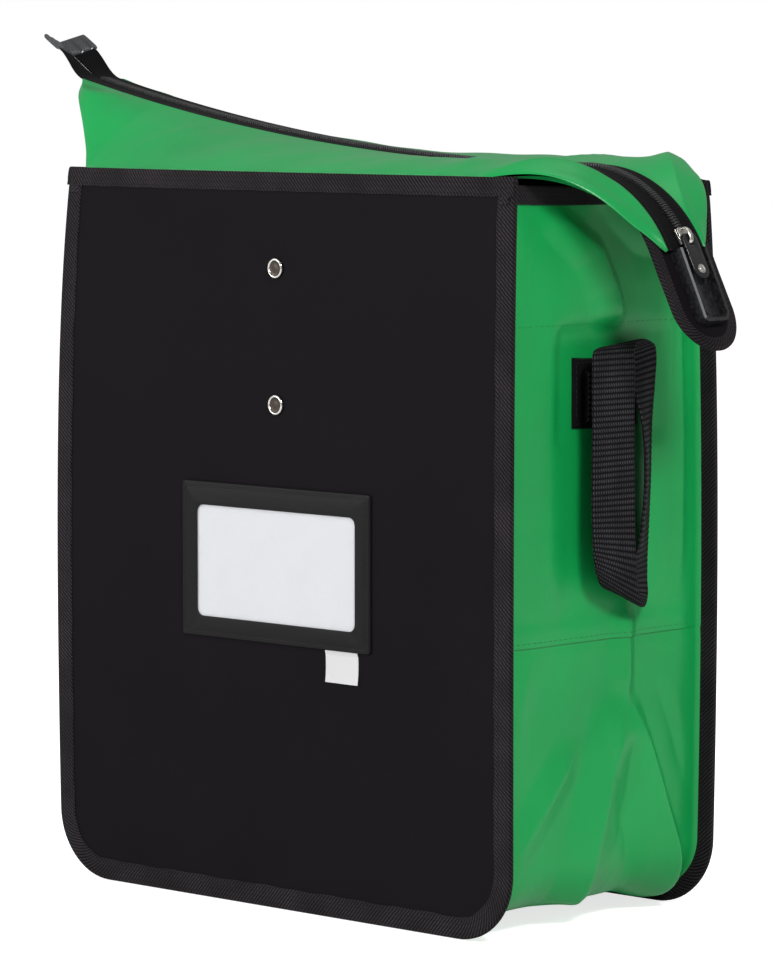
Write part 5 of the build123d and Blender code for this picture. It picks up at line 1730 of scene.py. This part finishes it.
@dataclass
class Slider:
    """The nickel slider with its crown; the black plate and pin that hang from it are made by Puller."""

    half: float = 5.6
    roof: float = 2.8
    top: float = 4.1

    def matrix(self, distance: float) -> Matrix:
        """The ridge's own frame at a distance along it, in metres."""
        turn = (distance - BAG.sag_length) / BAG.droop
        at = Vector(ridge(distance, 0.0, 0.0) * MM)
        along = Vector((math.cos(turn), 0, -math.sin(turn)))
        out = Vector((math.sin(turn), 0, math.cos(turn)))
        return Matrix.Translation(at) @ Matrix((along, Vector((0, 1, 0)), out)).transposed().to_4x4()

    def plate(self, name: str, low: float, high: float) -> bpy.types.Object:
        """Makes one of the slider's two plates, waisted and wider at its nose."""
        plate = block(name, (-6.2, -self.half, low), (6.2, self.half, high))
        with editing(plate):
            bpy.ops.mesh.select_all(action="SELECT")
            bpy.ops.mesh.bisect(plane_co=(-1.5 * MM, 0, 0), plane_no=(1, 0, 0))
            bpy.ops.mesh.select_all(action="SELECT")
            bpy.ops.mesh.bisect(plane_co=(2.2 * MM, 0, 0), plane_no=(1, 0, 0))
            pick(plate, Element.EDGE, lambda at, way: abs(way.z) > 0.9 and at.x > 5)
            bpy.ops.mesh.bevel(offset=3.2 * MM, segments=5, affect="EDGES")
            pick(plate, Element.EDGE, lambda at, way: abs(way.z) > 0.9 and at.x < -5)
            bpy.ops.mesh.bevel(offset=2.4 * MM, segments=4, affect="EDGES")
        for vertex in plate.data.vertices:
            if vertex.co.x > 2.0 * MM:
                vertex.co.y *= 0.86
        modified(plate, "BEVEL", width=0.35 * MM, segments=3, limit_method="ANGLE", angle_limit=math.radians(35))
        return plate

    def crown(self) -> bpy.types.Object:
        """Makes the bridge on the top plate that the puller hangs from."""
        arch = spline([(-5.4, 3.9), (-4.6, 5.9), (-2.2, 7.4), (1.4, 7.5), (4.2, 6.3), (5.2, 3.9)], 26)
        angles = np.linspace(0, 2 * math.pi, 12, endpoint=False)
        way = np.gradient(arch, axis=0)
        way /= np.linalg.norm(way, axis=1, keepdims=True)
        grid = np.zeros((len(arch), 12, 3))
        grid[..., 0] = arch[:, None, 0] - way[:, None, 1] * np.sin(angles) * 0.75
        grid[..., 2] = arch[:, None, 1] + way[:, None, 0] * np.sin(angles) * 0.75
        grid[..., 1] = np.cos(angles)[None, :] * 1.7
        return outward(surface("slider_crown", grid, (False, True)))

    def side_flanges(self) -> list[bpy.types.Object]:
        """Makes the turned edges that grip the tapes."""
        pieces = []
        for sign in (-1, 1):
            low, high = sorted((sign * (self.half - 1.1), sign * self.half))
            flange = block(f"slider_flange_{sign}", (-5.6, low, 0.9), (4.6, high, self.roof + 0.2))
            modified(flange, "BEVEL", width=0.35 * MM, segments=2, limit_method="ANGLE")
            pieces.append(flange)
        return pieces

    def post(self) -> bpy.types.Object:
        """Makes the post that joins the two plates between the tapes."""
        post = block("slider_post", (3.0, -0.55, -1.2), (5.2, 0.55, self.roof + 0.3))
        return modified(post, "BEVEL", width=0.2 * MM, segments=2, limit_method="ANGLE")

    def build(self) -> None:
        """Builds and installs the slider."""
        upper = self.plate("slider_top", self.roof, self.top)
        lower = self.plate("slider_bottom", -2.0, -0.8)
        body = join("zip_slider_body", [upper, lower, self.crown(), *self.side_flanges(), self.post()])
        middle = BAG.sag_length + math.radians(58.5) * BAG.droop
        settle(body, self.matrix(middle))
        install(body, "zip_slider", NICKEL, ["zip_slider"], angle=35)


@dataclass
class Puller:
    """The flat puller with its rounded end, slot and locking pin."""

    length: float = 28.0
    half: float = 6.5
    thickness: float = 1.7
    pin_at: float = 22.0

    def plate(self) -> bpy.types.Object:
        """Makes the plate as a rounded ring round the crown and a tongue with a round end."""
        turn = np.linspace(-math.pi / 2, math.pi / 2, 17)
        end_x = self.length - self.half + self.half * np.cos(turn)
        end_y = self.half * np.sin(turn)
        heel = [(-0.4, self.half - 1.2), (-0.9, self.half - 2.4), (-0.9, -self.half + 2.4), (-0.4, -self.half + 1.2)]
        outer = np.array([(3.0, -self.half + 0.2), (9.0, -self.half), *zip(end_x, end_y), (9.0, self.half), (3.0, self.half - 0.2), *heel])
        slot_half, slot_end = 2.1, 7.2
        inner = []
        middle = np.array([4.0, 0.0])
        for x, y in outer:
            way = np.array([x, y]) - middle
            reach = min(
                ((slot_end - 4.0) if way[0] > 0 else 3.8) / max(abs(way[0]), 1e-6), slot_half / max(abs(way[1]), 1e-6)
            )
            inner.append(middle + way * min(reach, 0.98))
        inner = np.array(inner)
        h = self.thickness / 2
        rings = []
        for share, lift in ((0.0, -h), (0.0, h), (0.08, h + 0.18), (0.55, h + 0.18), (1.0, h), (1.0, -h), (0.5, -h)):
            ring = outer + (inner - outer) * share
            rings.append(np.concatenate([ring, np.full((len(ring), 1), lift)], axis=1))
        plate = outward(surface("puller_plate", np.stack(rings, axis=0), (True, True)))
        return modified(plate, "BEVEL", width=0.3 * MM, segments=2, limit_method="ANGLE", angle_limit=math.radians(50))

    def pin(self) -> bpy.types.Object:
        """Makes the ringed locking pin."""
        pin = disc("puller_locking_pin", (self.pin_at, 0, 0.7), 2.9, 1.5)
        with editing(pin):
            pick(pin, Element.FACE, lambda at, way: way.z > 0.9)
            bpy.ops.mesh.inset(thickness=0.75 * MM, depth=0.0)
            bpy.ops.mesh.inset(thickness=0.15 * MM, depth=-0.6 * MM)
            bpy.ops.mesh.inset(thickness=0.35 * MM, depth=0.5 * MM)
            pick(pin, Element.FACE, lambda at, way: way.z < -0.9)
            bpy.ops.mesh.inset(thickness=0.9 * MM, depth=0.0)
            bpy.ops.mesh.extrude_region_move(TRANSFORM_OT_translate={"value": (0, 0, -1.9 * MM)})
        return modified(pin, "BEVEL", width=0.14 * MM, segments=2, limit_method="ANGLE", angle_limit=math.radians(40))

    def build(self, frame: dict) -> None:
        """Builds and installs the plate and its pin on the puller's body."""
        hinge = next(j for j in frame["record"]["behaviour"]["joints"] if j["name"] == "puller_lift")
        turn = BAG.tongue_matrix.to_3x3().to_4x4()
        matrix = Matrix.Translation(Vector(hinge["pos_m"])) @ turn
        install(settle(self.plate(), matrix), "puller", LOCK_PLASTIC, ["zip_puller"], angle=35)
        install(
            settle(self.pin(), matrix), "puller", [NICKEL, LOCK_PLASTIC], ["puller_pin"], angle=35,
            choose=lambda at, way: 0,
        )


# ---------------------------------------------------------------------------
# Address pocket, label and rivets
# ---------------------------------------------------------------------------
@dataclass
class Pocket:
    """Address pocket on the front panel: stitched frame, clear window, card and the label below."""

    opening: tuple[float, float] = (135.0, 69.0)
    opening_centre: float = 210.0
    opening_radius: float = 5.0
    outer_radius: float = 2.0

    def rounded(self, half_x: float, half_z: float, radius: float, steps: int = 6) -> np.ndarray:
        """A closed rounded rectangle with evenly filled sides, as (X, Z)."""
        points = []
        corners = ((1, 1, 0), (-1, 1, 90), (-1, -1, 180), (1, -1, 270))
        for index, (sx, sz, first) in enumerate(corners):
            for step in range(steps + 1):
                angle = math.radians(first + 90 * step / steps)
                points.append(
                    (sx * (half_x - radius) + radius * math.cos(angle), sz * (half_z - radius) + radius * math.sin(angle))
                )
            nx, nz, _ = corners[(index + 1) % 4]
            last = points[-1]
            if index % 2 == 0:
                target = (nx * (half_x - radius), sz * half_z)
            else:
                target = (sx * half_x, nz * (half_z - radius))
            for share in np.linspace(0, 1, 16)[1:-1]:
                points.append((last[0] + (target[0] - last[0]) * share, last[1] + (target[1] - last[1]) * share))
        return np.array(points)

    def frame_sheet(self) -> bpy.types.Object:
        """Makes the frame: a puffed vinyl border that dips to its stitch line and its window."""
        low, high = corner_box("pocket_frame")
        half = ((high.x - low.x) / 2, (high.z - low.z) / 2)
        centre_z = (high.z + low.z) / 2
        outer = self.rounded(half[0], half[1], self.outer_radius)
        inner = self.rounded(self.opening[0] / 2, self.opening[1] / 2, self.opening_radius)
        inner[:, 1] += self.opening_centre - centre_z
        face, back = low.y, high.y
        wave = np.sin(np.arange(len(outer)) * 0.7) * 0.12
        profile = ((0.0, back), (0.0, face + 0.7), (0.03, face + 0.25), (0.1, face + 0.05), (0.2, face + 0.32))
        profile += ((0.3, face + 0.02), (0.55, face - 0.12), (0.8, face), (0.93, face + 0.1), (1.0, face + 0.35), (1.0, back - 0.7))
        rings = []
        for share, y in profile:
            ring = outer + (inner - outer) * share
            lift = np.full(len(ring), y) + (wave if 0.2 < share < 0.9 else 0)
            rings.append(np.stack([ring[:, 0], lift, ring[:, 1] + centre_z], axis=1))
        return outward(surface("pocket_frame_sheet", np.stack(rings), (True, True)))

    def film(self) -> bpy.types.Object:
        """Makes the clear window, slightly pillowed over the card."""
        low, high = corner_box("pocket_window")
        x = np.linspace(low.x, high.x, 40)
        z = np.linspace(low.z, high.z, 26)
        u, v = np.meshgrid(np.linspace(-1, 1, 40), np.linspace(-1, 1, 26))
        y = low.y - 0.02 - 0.2 * (1 - u**6) * (1 - v**6) + 0.03 * np.sin(u * 5 + v * 3)
        grid = np.stack([np.tile(x, (26, 1)), y, np.tile(z[:, None], (1, 40))], axis=-1)
        return thicken(surface("pocket_film", grid), 0.18)

    def card(self) -> bpy.types.Object:
        """Makes the blank card with soft corners."""
        low, high = corner_box("address_card")
        card = block("address_card_blank", tuple(low), tuple(high))
        with editing(card):
            pick(card, Element.EDGE, lambda at, way: abs(way.y) > 0.9)
            bpy.ops.mesh.bevel(offset=2.5 * MM, segments=4, affect="EDGES")
            pick(card, Element.FACE, lambda at, way: abs(way.y) > 0.9)
            bpy.ops.mesh.inset(thickness=1.2 * MM, depth=0.0)
        return card

    def sewn(self) -> bpy.types.Object:
        """Makes the stitches round the frame."""
        low, high = corner_box("pocket_frame")
        ring = self.rounded((high.x - low.x) / 2 - 2.4, (high.z - low.z) / 2 - 2.4, 1.5)
        ring = np.concatenate([ring, ring[:1]])
        centre_z = (high.z + low.z) / 2
        line = np.stack([ring[:, 0], np.full(len(ring), low.y + 0.2), ring[:, 1] + centre_z], 1)
        return stitches("pocket_stitches", line, np.tile((0.0, -1.0, 0.0), (len(line), 1)), 2.4, 1.0, 0.5)

    def label(self) -> bpy.types.Object:
        """Makes the small sewn label: blank satin with a folded top and a curling foot."""
        low, high = corner_box("sewn_label")
        u = np.linspace(0, 1, 22)
        v = np.linspace(0, 1, 24)
        x = low.x + (high.x - low.x) * u
        z = high.z + (low.z - high.z) * v
        gx, gz = np.meshgrid(x, z)
        gu, gv = np.meshgrid(u, v)
        y = low.y + 0.1 - 0.9 * gv**2 * (0.6 + 0.4 * gu) + 0.15 * np.sin(gu * 7) * gv - 0.5 * np.exp(-((gv - 0.04) / 0.05) ** 2)
        gx = gx + 0.5 * np.sin(gv * 2.5)
        return thicken(surface("blank_label", np.stack([gx, y, gz], axis=-1)), 0.35)

    def build(self) -> None:
        """Builds and installs the pocket, its window and card, and the label."""
        border = install(self.frame_sheet(), "root", POCKET_VINYL, ["pocket_frame"], angle=50)
        film = install(self.film(), "root", CLEAR_VINYL, ["pocket_window"])
        install(self.card(), "card", CARD, ["address_card"])
        sewn = install(self.sewn(), "root", THREAD)
        label = install(self.label(), "root", LABEL, ["sewn_label"])


@dataclass
class Rivets:
    """The two tubular rivets on the front panel: a bright rolled ring round a cup painted dark brown for the shade
    inside its hollow.
    """

    radius: float = 6.1

    def head(self, name: str, height: float) -> bpy.types.Object:
        """Makes one rivet's head."""
        face = -BAG.depth / 2 + BAG.cover_face
        head = disc(name, (0, face - 0.55, height), self.radius, 1.1, (math.pi / 2, 0, 0))
        with editing(head):
            pick(head, Element.FACE, lambda at, way: way.y < -0.9)
            bpy.ops.mesh.inset(thickness=0.8 * MM, depth=0.5 * MM)
            bpy.ops.mesh.inset(thickness=0.5 * MM, depth=-0.3 * MM)
            bpy.ops.mesh.inset(thickness=0.3 * MM, depth=-0.6 * MM)
            bpy.ops.mesh.inset(thickness=1.9 * MM, depth=-0.2 * MM)
            bpy.ops.mesh.inset(thickness=1.2 * MM, depth=0.3 * MM)
        return modified(head, "BEVEL", width=0.3 * MM, segments=3, limit_method="ANGLE", angle_limit=math.radians(28))

    def build(self, frame: dict) -> None:
        """Builds and installs both heads; their shanks' washers keep their CAD meshes."""
        for node in ("upper_rivet", "lower_rivet"):
            low, high = corner_box(node)
            height = (low.z + high.z) / 2
            head = self.head(f"{node}_head", height)
            # Faces within 4.6 mm of the middle take the dark cup finish: painted shade in the hollow
            install(
                head, "root", [NICKEL, RIVET_CUP_PAINTED_SHADE], [node], angle=40,
                choose=lambda at, way, h=height: int(math.hypot(at.x, at.z - h) < 4.6),
            )
        mark(frame["nodes"]["rivet_washers"], [NICKEL])


# ---------------------------------------------------------------------------
# Webbing handles
# ---------------------------------------------------------------------------
@dataclass
class Handle:
    """One webbing handle: vinyl patch, sewn-down ends and the hanging loop."""

    side: Side
    width: float = 42.0
    thickness: float = 2.3
    rib: float = 3.4

    @property
    def word(self) -> str:
        """Which side it is on."""
        return "right" if self.side is Side.PLUS else "left"

    def band(self, name: str, centres: np.ndarray, ways: np.ndarray, widths: np.ndarray, closed: bool) -> bpy.types.Object:
        """Makes a length of ribbed webbing.

        Args:
            name: the object's name.
            centres: its middle line, in millimetres.
            ways: its width direction at each point.
            widths: its width at each point.
            closed: whether its ends meet.

        Returns:
            The webbing as a closed tube of flat section.
        """
        along = np.gradient(centres, axis=0)
        if closed:
            along = np.roll(centres, -1, axis=0) - np.roll(centres, 1, axis=0)
        along /= np.linalg.norm(along, axis=1, keepdims=True)
        ways = ways / np.linalg.norm(ways, axis=1, keepdims=True)
        out = np.cross(ways, along)
        out /= np.linalg.norm(out, axis=1, keepdims=True)
        steps = np.linalg.norm(np.diff(centres, axis=0), axis=1)
        run = np.concatenate([[0.0], np.cumsum(steps)])
        ribs = np.abs(np.sin(np.pi * run / self.rib)) ** 0.7
        v = np.linspace(-1, 1, 33)
        edge = np.sqrt(np.clip(1 - np.abs(v) ** 10, 0.05, 1))
        cords = 0.07 * np.cos(v * math.pi * 16)
        half_thick = self.thickness / 2 * edge[None, :] * (0.82 + 0.18 * ribs[:, None]) + 0.2 * ribs[:, None] * edge[None, :]
        half_thick = half_thick + cords[None, :] * edge[None, :] * ribs[:, None]
        side = widths[:, None] / 2 * v[None, :] * (1 + 0.006 * np.sin(run / 2.1))[:, None]
        face = centres[:, None, :] + ways[:, None, :] * side[..., None]
        top = face + out[:, None, :] * half_thick[..., None]
        low = face - out[:, None, :] * half_thick[..., None]
        grid = np.concatenate([top, low[:, ::-1]], axis=1)
        return outward(surface(name, grid, (closed, True)))

    def loop(self) -> bpy.types.Object:
        """Makes the hanging loop: flat outer strand, slanted foot and a return strand that has turned."""
        knots = [
            # middle of the webbing (x, y, z), then its width direction and width
            ((195.0, -1.0, 348.6), (0.0, 1.0, 0.06), 39.0),
            ((198.6, -8.5, 345.4), (0.0, 1.0, 0.01), 38.0),
            ((199.7, -10.0, 336.0), (0.0, 1.0, 0.0), 38.0),
            ((199.8, -10.0, 300.0), (0.0, 1.0, 0.0), 38.0),
            ((199.8, -10.0, 262.0), (0.02, 1.0, 0.0), 38.0),
            ((199.8, -9.0, 234.0), (0.02, 1.0, -0.1), 38.0),
            ((199.5, -7.0, 215.0), (0.03, 1.0, -0.36), 40.0),
            ((197.4, -1.5, 203.6), (0.03, 1.0, -0.5), 44.0),
            ((193.6, 7.0, 199.8), (-0.03, 1.0, -0.36), 45.0),
            ((190.6, 16.0, 201.6), (-0.16, 1.0, -0.16), 42.0),
            ((190.8, 22.6, 212.0), (-0.42, 1.0, -0.03), 38.0),
            ((193.0, 26.0, 234.0), (-0.66, 1.0, 0.0), 35.0),
            ((194.4, 27.5, 266.0), (-0.74, 1.0, 0.0), 35.0),
            ((194.0, 27.5, 298.0), (-0.66, 1.0, 0.0), 35.5),
            ((191.6, 27.0, 324.0), (-0.36, 1.0, 0.04), 37.0),
            ((189.6, 23.0, 341.6), (-0.1, 1.0, 0.16), 40.0),
            ((191.4, 11.0, 348.4), (-0.03, 1.0, 0.14), 40.0),
        ]
        flat = np.array([(*c, *w, width) for c, w, width in knots])
        dense = spline(flat, 1200, closed=True)
        steps = np.linalg.norm(np.diff(dense[:, :3], axis=0), axis=1)
        run = np.concatenate([[0.0], np.cumsum(steps)])
        places = np.linspace(0, run[-1], 561)[:-1]
        even = np.stack([np.interp(places, run, dense[:, k]) for k in range(7)], axis=1)
        even[:, 0] *= self.side.value
        even[:, 3] *= self.side.value
        return self.band(f"handle_{self.word}_webbing_loop", even[:, :3], even[:, 3:6], even[:, 6], True)

    def anchor(self) -> bpy.types.Object:
        """Makes the two webbing ends stacked on the patch, rolled over at the top."""
        low, high = corner_box(f"handle_{self.word}_anchor")
        near, far = (low.x, high.x) if self.side is Side.PLUS else (high.x, low.x)
        s = self.side.value
        path = spline(
            [(far - s * 1.2, low.z), (far - s * 1.15, low.z + 12), (far - s * 1.1, high.z - 10), (far - s * 1.6, high.z - 4.4),
             (near + s * 1.3, high.z - 4.2), (near + s * 1.2, high.z - 10), (near + s * 1.2, low.z + 8), (near + s * 1.2, low.z)],
            150,
        )
        centres = np.stack([path[:, 0], np.full(150, 1.5), path[:, 1]], 1)
        ways = np.tile((0.0, 1.0, 0.0), (150, 1))
        slim = Handle(self.side, thickness=1.7)
        return slim.band(f"handle_{self.word}_sewn_ends", centres, ways, np.full(150, 34.0), False)

    def patch(self) -> bpy.types.Object:
        """Makes the vinyl patch: soft wrinkles and a raised, shiny border on its free side."""
        low, high = corner_box(f"handle_{self.word}_patch")
        u, v = np.meshgrid(np.linspace(-1, 1, 70), np.linspace(-1, 1, 50))
        y = (low.y + high.y) / 2 + (high.y - low.y) / 2 * u + 4.0
        z = (low.z + high.z) / 2 + (high.z - low.z) / 2 * v + 0.5 * np.sin(u * 4)
        folds = 0.9 * window(u, 0.62, 0.8, 0.86, 0.99) * (1 + 0.35 * np.sin(v * 9)) + 0.6 * window(u, -0.98, -0.84, -0.8, -0.64)
        face = (high.x if self.side is Side.PLUS else -low.x) + folds + 0.12 * np.sin(u * 13 + v * 5)
        edge = 1 - 0.55 * np.maximum(np.abs(u), np.abs(v)) ** 18
        x = BAG.wall + (face - BAG.wall) * edge
        grid = np.stack([x * self.side.value, y, z], axis=-1)
        return thicken(surface(f"handle_{self.word}_vinyl_patch", grid), 0.8)

    def inner(self) -> bpy.types.Object:
        """Makes the reinforcement on the inside of the gusset."""
        low, high = corner_box(f"handle_{self.word}_reinforcement")
        u, v = np.meshgrid(np.linspace(-1, 1, 24), np.linspace(-1, 1, 20))
        y = (low.y + high.y) / 2 + (high.y - low.y) / 2 * u
        z = (low.z + high.z) / 2 + (high.z - low.z) / 2 * v
        x = (low.x if self.side is Side.PLUS else high.x) + self.side.value * (0.3 + 0.15 * np.sin(u * 5) * np.sin(v * 4))
        sheet = surface(f"handle_{self.word}_inner_patch", np.stack([x, y, z], axis=-1))
        return thicken(sheet, 0.8)

    def sewing(self) -> bpy.types.Object:
        """Makes the boxed cross of stitches through the sewn ends and the patch's border row."""
        low, high = corner_box(f"handle_{self.word}_patch")
        x = (BAG.wall + 1.55) * self.side.value
        y0, y1, z0, z1 = low.y + 7, high.y + 1, low.z + 3, high.z - 3
        ring = np.array([(y0, z0), (y1, z0), (y1, z1), (y0, z1), (y0, z0)])
        dense = np.concatenate([np.linspace(a, b, 20)[:-1] for a, b in zip(ring[:-1], ring[1:])])
        line = np.stack([np.full(len(dense), x), dense[:, 0], dense[:, 1]], 1)
        normal = np.tile((float(self.side.value), 0.0, 0.0), (len(line), 1))
        return stitches(f"handle_{self.word}_stitches", line, normal, 2.6, 1.0, 0.6)

    def build(self) -> None:
        """Builds and installs the handle."""
        word = self.word
        patch = install(self.patch(), "root", POCKET_VINYL, [f"handle_{word}_patch"], angle=50)
        inner = install(self.inner(), "root", POCKET_VINYL, [f"handle_{word}_reinforcement"])
        ends = install(self.anchor(), "root", WEBBING, [f"handle_{word}_anchor"], angle=60)
        sewn = install(self.sewing(), "root", THREAD)
        loop = install(self.loop(), f"handle_{word}", WEBBING, [f"handle_{word}_loop"], angle=60)


# ---------------------------------------------------------------------------
# Studio
# ---------------------------------------------------------------------------
@dataclass
class Studio:
    """Pale floor, soft lights and the camera."""

    azimuth: float = math.radians(43.44)
    elevation: float = math.radians(4.964)
    distance: float = 2997.0
    aside: float = 4.3
    aim: float = 259.3
    focal: float = 181.9

    def floor(self) -> None:
        """Makes the wide pale floor."""
        bpy.ops.object.select_all(action="DESELECT")
        bpy.ops.mesh.primitive_circle_add(vertices=96, radius=14.0, fill_type="NGON", location=(0, 0, -0.0006))
        floor = bpy.context.active_object
        floor.name = floor.data.name = "studio_floor"
        material = bpy.data.materials.new("pale_floor")
        material.use_nodes = True
        tree = Tree(material.node_tree)
        shader = material.node_tree.nodes["Principled BSDF"]
        noise = tree.add("ShaderNodeTexNoise", {"Scale": 3.0})
        tone = tree.mix(noise.outputs[0], (0.9, 0.9, 0.9, 1.0), (0.93, 0.93, 0.93, 1.0))
        tree.tree.links.new(tone, shader.inputs["Base Color"])
        shader.inputs["Roughness"].default_value = 0.9
        shader.inputs["Specular IOR Level"].default_value = 0.1
        shader.inputs["Emission Color"].default_value = (1.0, 1.0, 1.0, 1.0)
        seen = tree.add("ShaderNodeLightPath").outputs["Is Camera Ray"]
        tree.tree.links.new(tree.math("MULTIPLY", seen, 0.74), shader.inputs["Emission Strength"])
        floor.data.materials.append(material)

    def lamp(self, name: str, place: Point, aim: Point, size: float, power: float) -> None:
        """Adds one square soft light.

        Args:
            name: the light's name.
            place: where it stands, in metres.
            aim: what it faces, in metres.
            size: its side, in metres.
            power: its watts.
        """
        data = bpy.data.lights.new(name, "AREA")
        data.shape = "SQUARE"
        data.size = size
        data.energy = power
        lamp = bpy.data.objects.new(name, data)
        bpy.context.scene.collection.objects.link(lamp)
        lamp.location = place
        lamp.rotation_euler = (Vector(aim) - Vector(place)).to_track_quat("-Z", "Y").to_euler()

    def lights(self) -> None:
        """Sets the even white surroundings and three soft lights."""
        world = bpy.data.worlds.new("white_surroundings")
        world.use_nodes = True
        tree = Tree(world.node_tree)
        seen = tree.add("ShaderNodeLightPath").outputs["Is Camera Ray"]
        back = world.node_tree.nodes["Background"]
        back.inputs[0].default_value = (1.0, 1.0, 1.0, 1.0)
        tree.tree.links.new(tree.stretch(seen, 0.0, 1.0, 0.36, 1.0), back.inputs[1])
        bpy.context.scene.world = world
        self.lamp("key_light", (-1.6, -2.8, 1.5), (0, 0, 0.25), 1.7, 88.0)
        self.lamp("side_light", (2.5, -1.2, 2.2), (0.15, 0, 0.2), 0.6, 80.0)
        self.lamp("top_light", (0.3, 0.6, 2.8), (0, 0, 0.3), 1.4, 8.0)

    def camera(self) -> None:
        """Places the camera."""
        aside = Vector((math.cos(self.azimuth), math.sin(self.azimuth), 0)) * self.aside
        aim = Vector((aside.x, aside.y, self.aim)) * MM
        level = math.cos(self.elevation)
        away = Vector(
            (math.sin(self.azimuth) * level, -math.cos(self.azimuth) * level, math.sin(self.elevation))
        )
        data = bpy.data.cameras.new("camera")
        data.lens = self.focal
        data.sensor_width = 36.0
        data.clip_end = 100.0
        camera = bpy.data.objects.new("camera", data)
        bpy.context.scene.collection.objects.link(camera)
        camera.location = aim + away * self.distance * MM
        camera.rotation_euler = (-away).to_track_quat("-Z", "Y").to_euler()
        bpy.context.scene.camera = camera

    def build(self) -> None:
        """Builds the studio."""
        self.floor()
        self.lights()
        self.camera()
        bpy.context.scene.view_settings.view_transform = "Standard"


def main() -> None:
    """Builds every sub-assembly in order around the fixed frame."""
    logging.basicConfig(level=logging.INFO, format="%(name)s: %(message)s")
    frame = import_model()
    Studio().build()
    Panels().build(frame)
    Gusset().build()
    Rim().build()
    Closure().build()
    Zipper().build()
    LockTongue().build(frame)
    Slider().build()
    Puller().build(frame)
    Pocket().build()
    Rivets().build(frame)
    for side in Side:
        Handle(side).build()


if __name__ == "__main__":
    main()
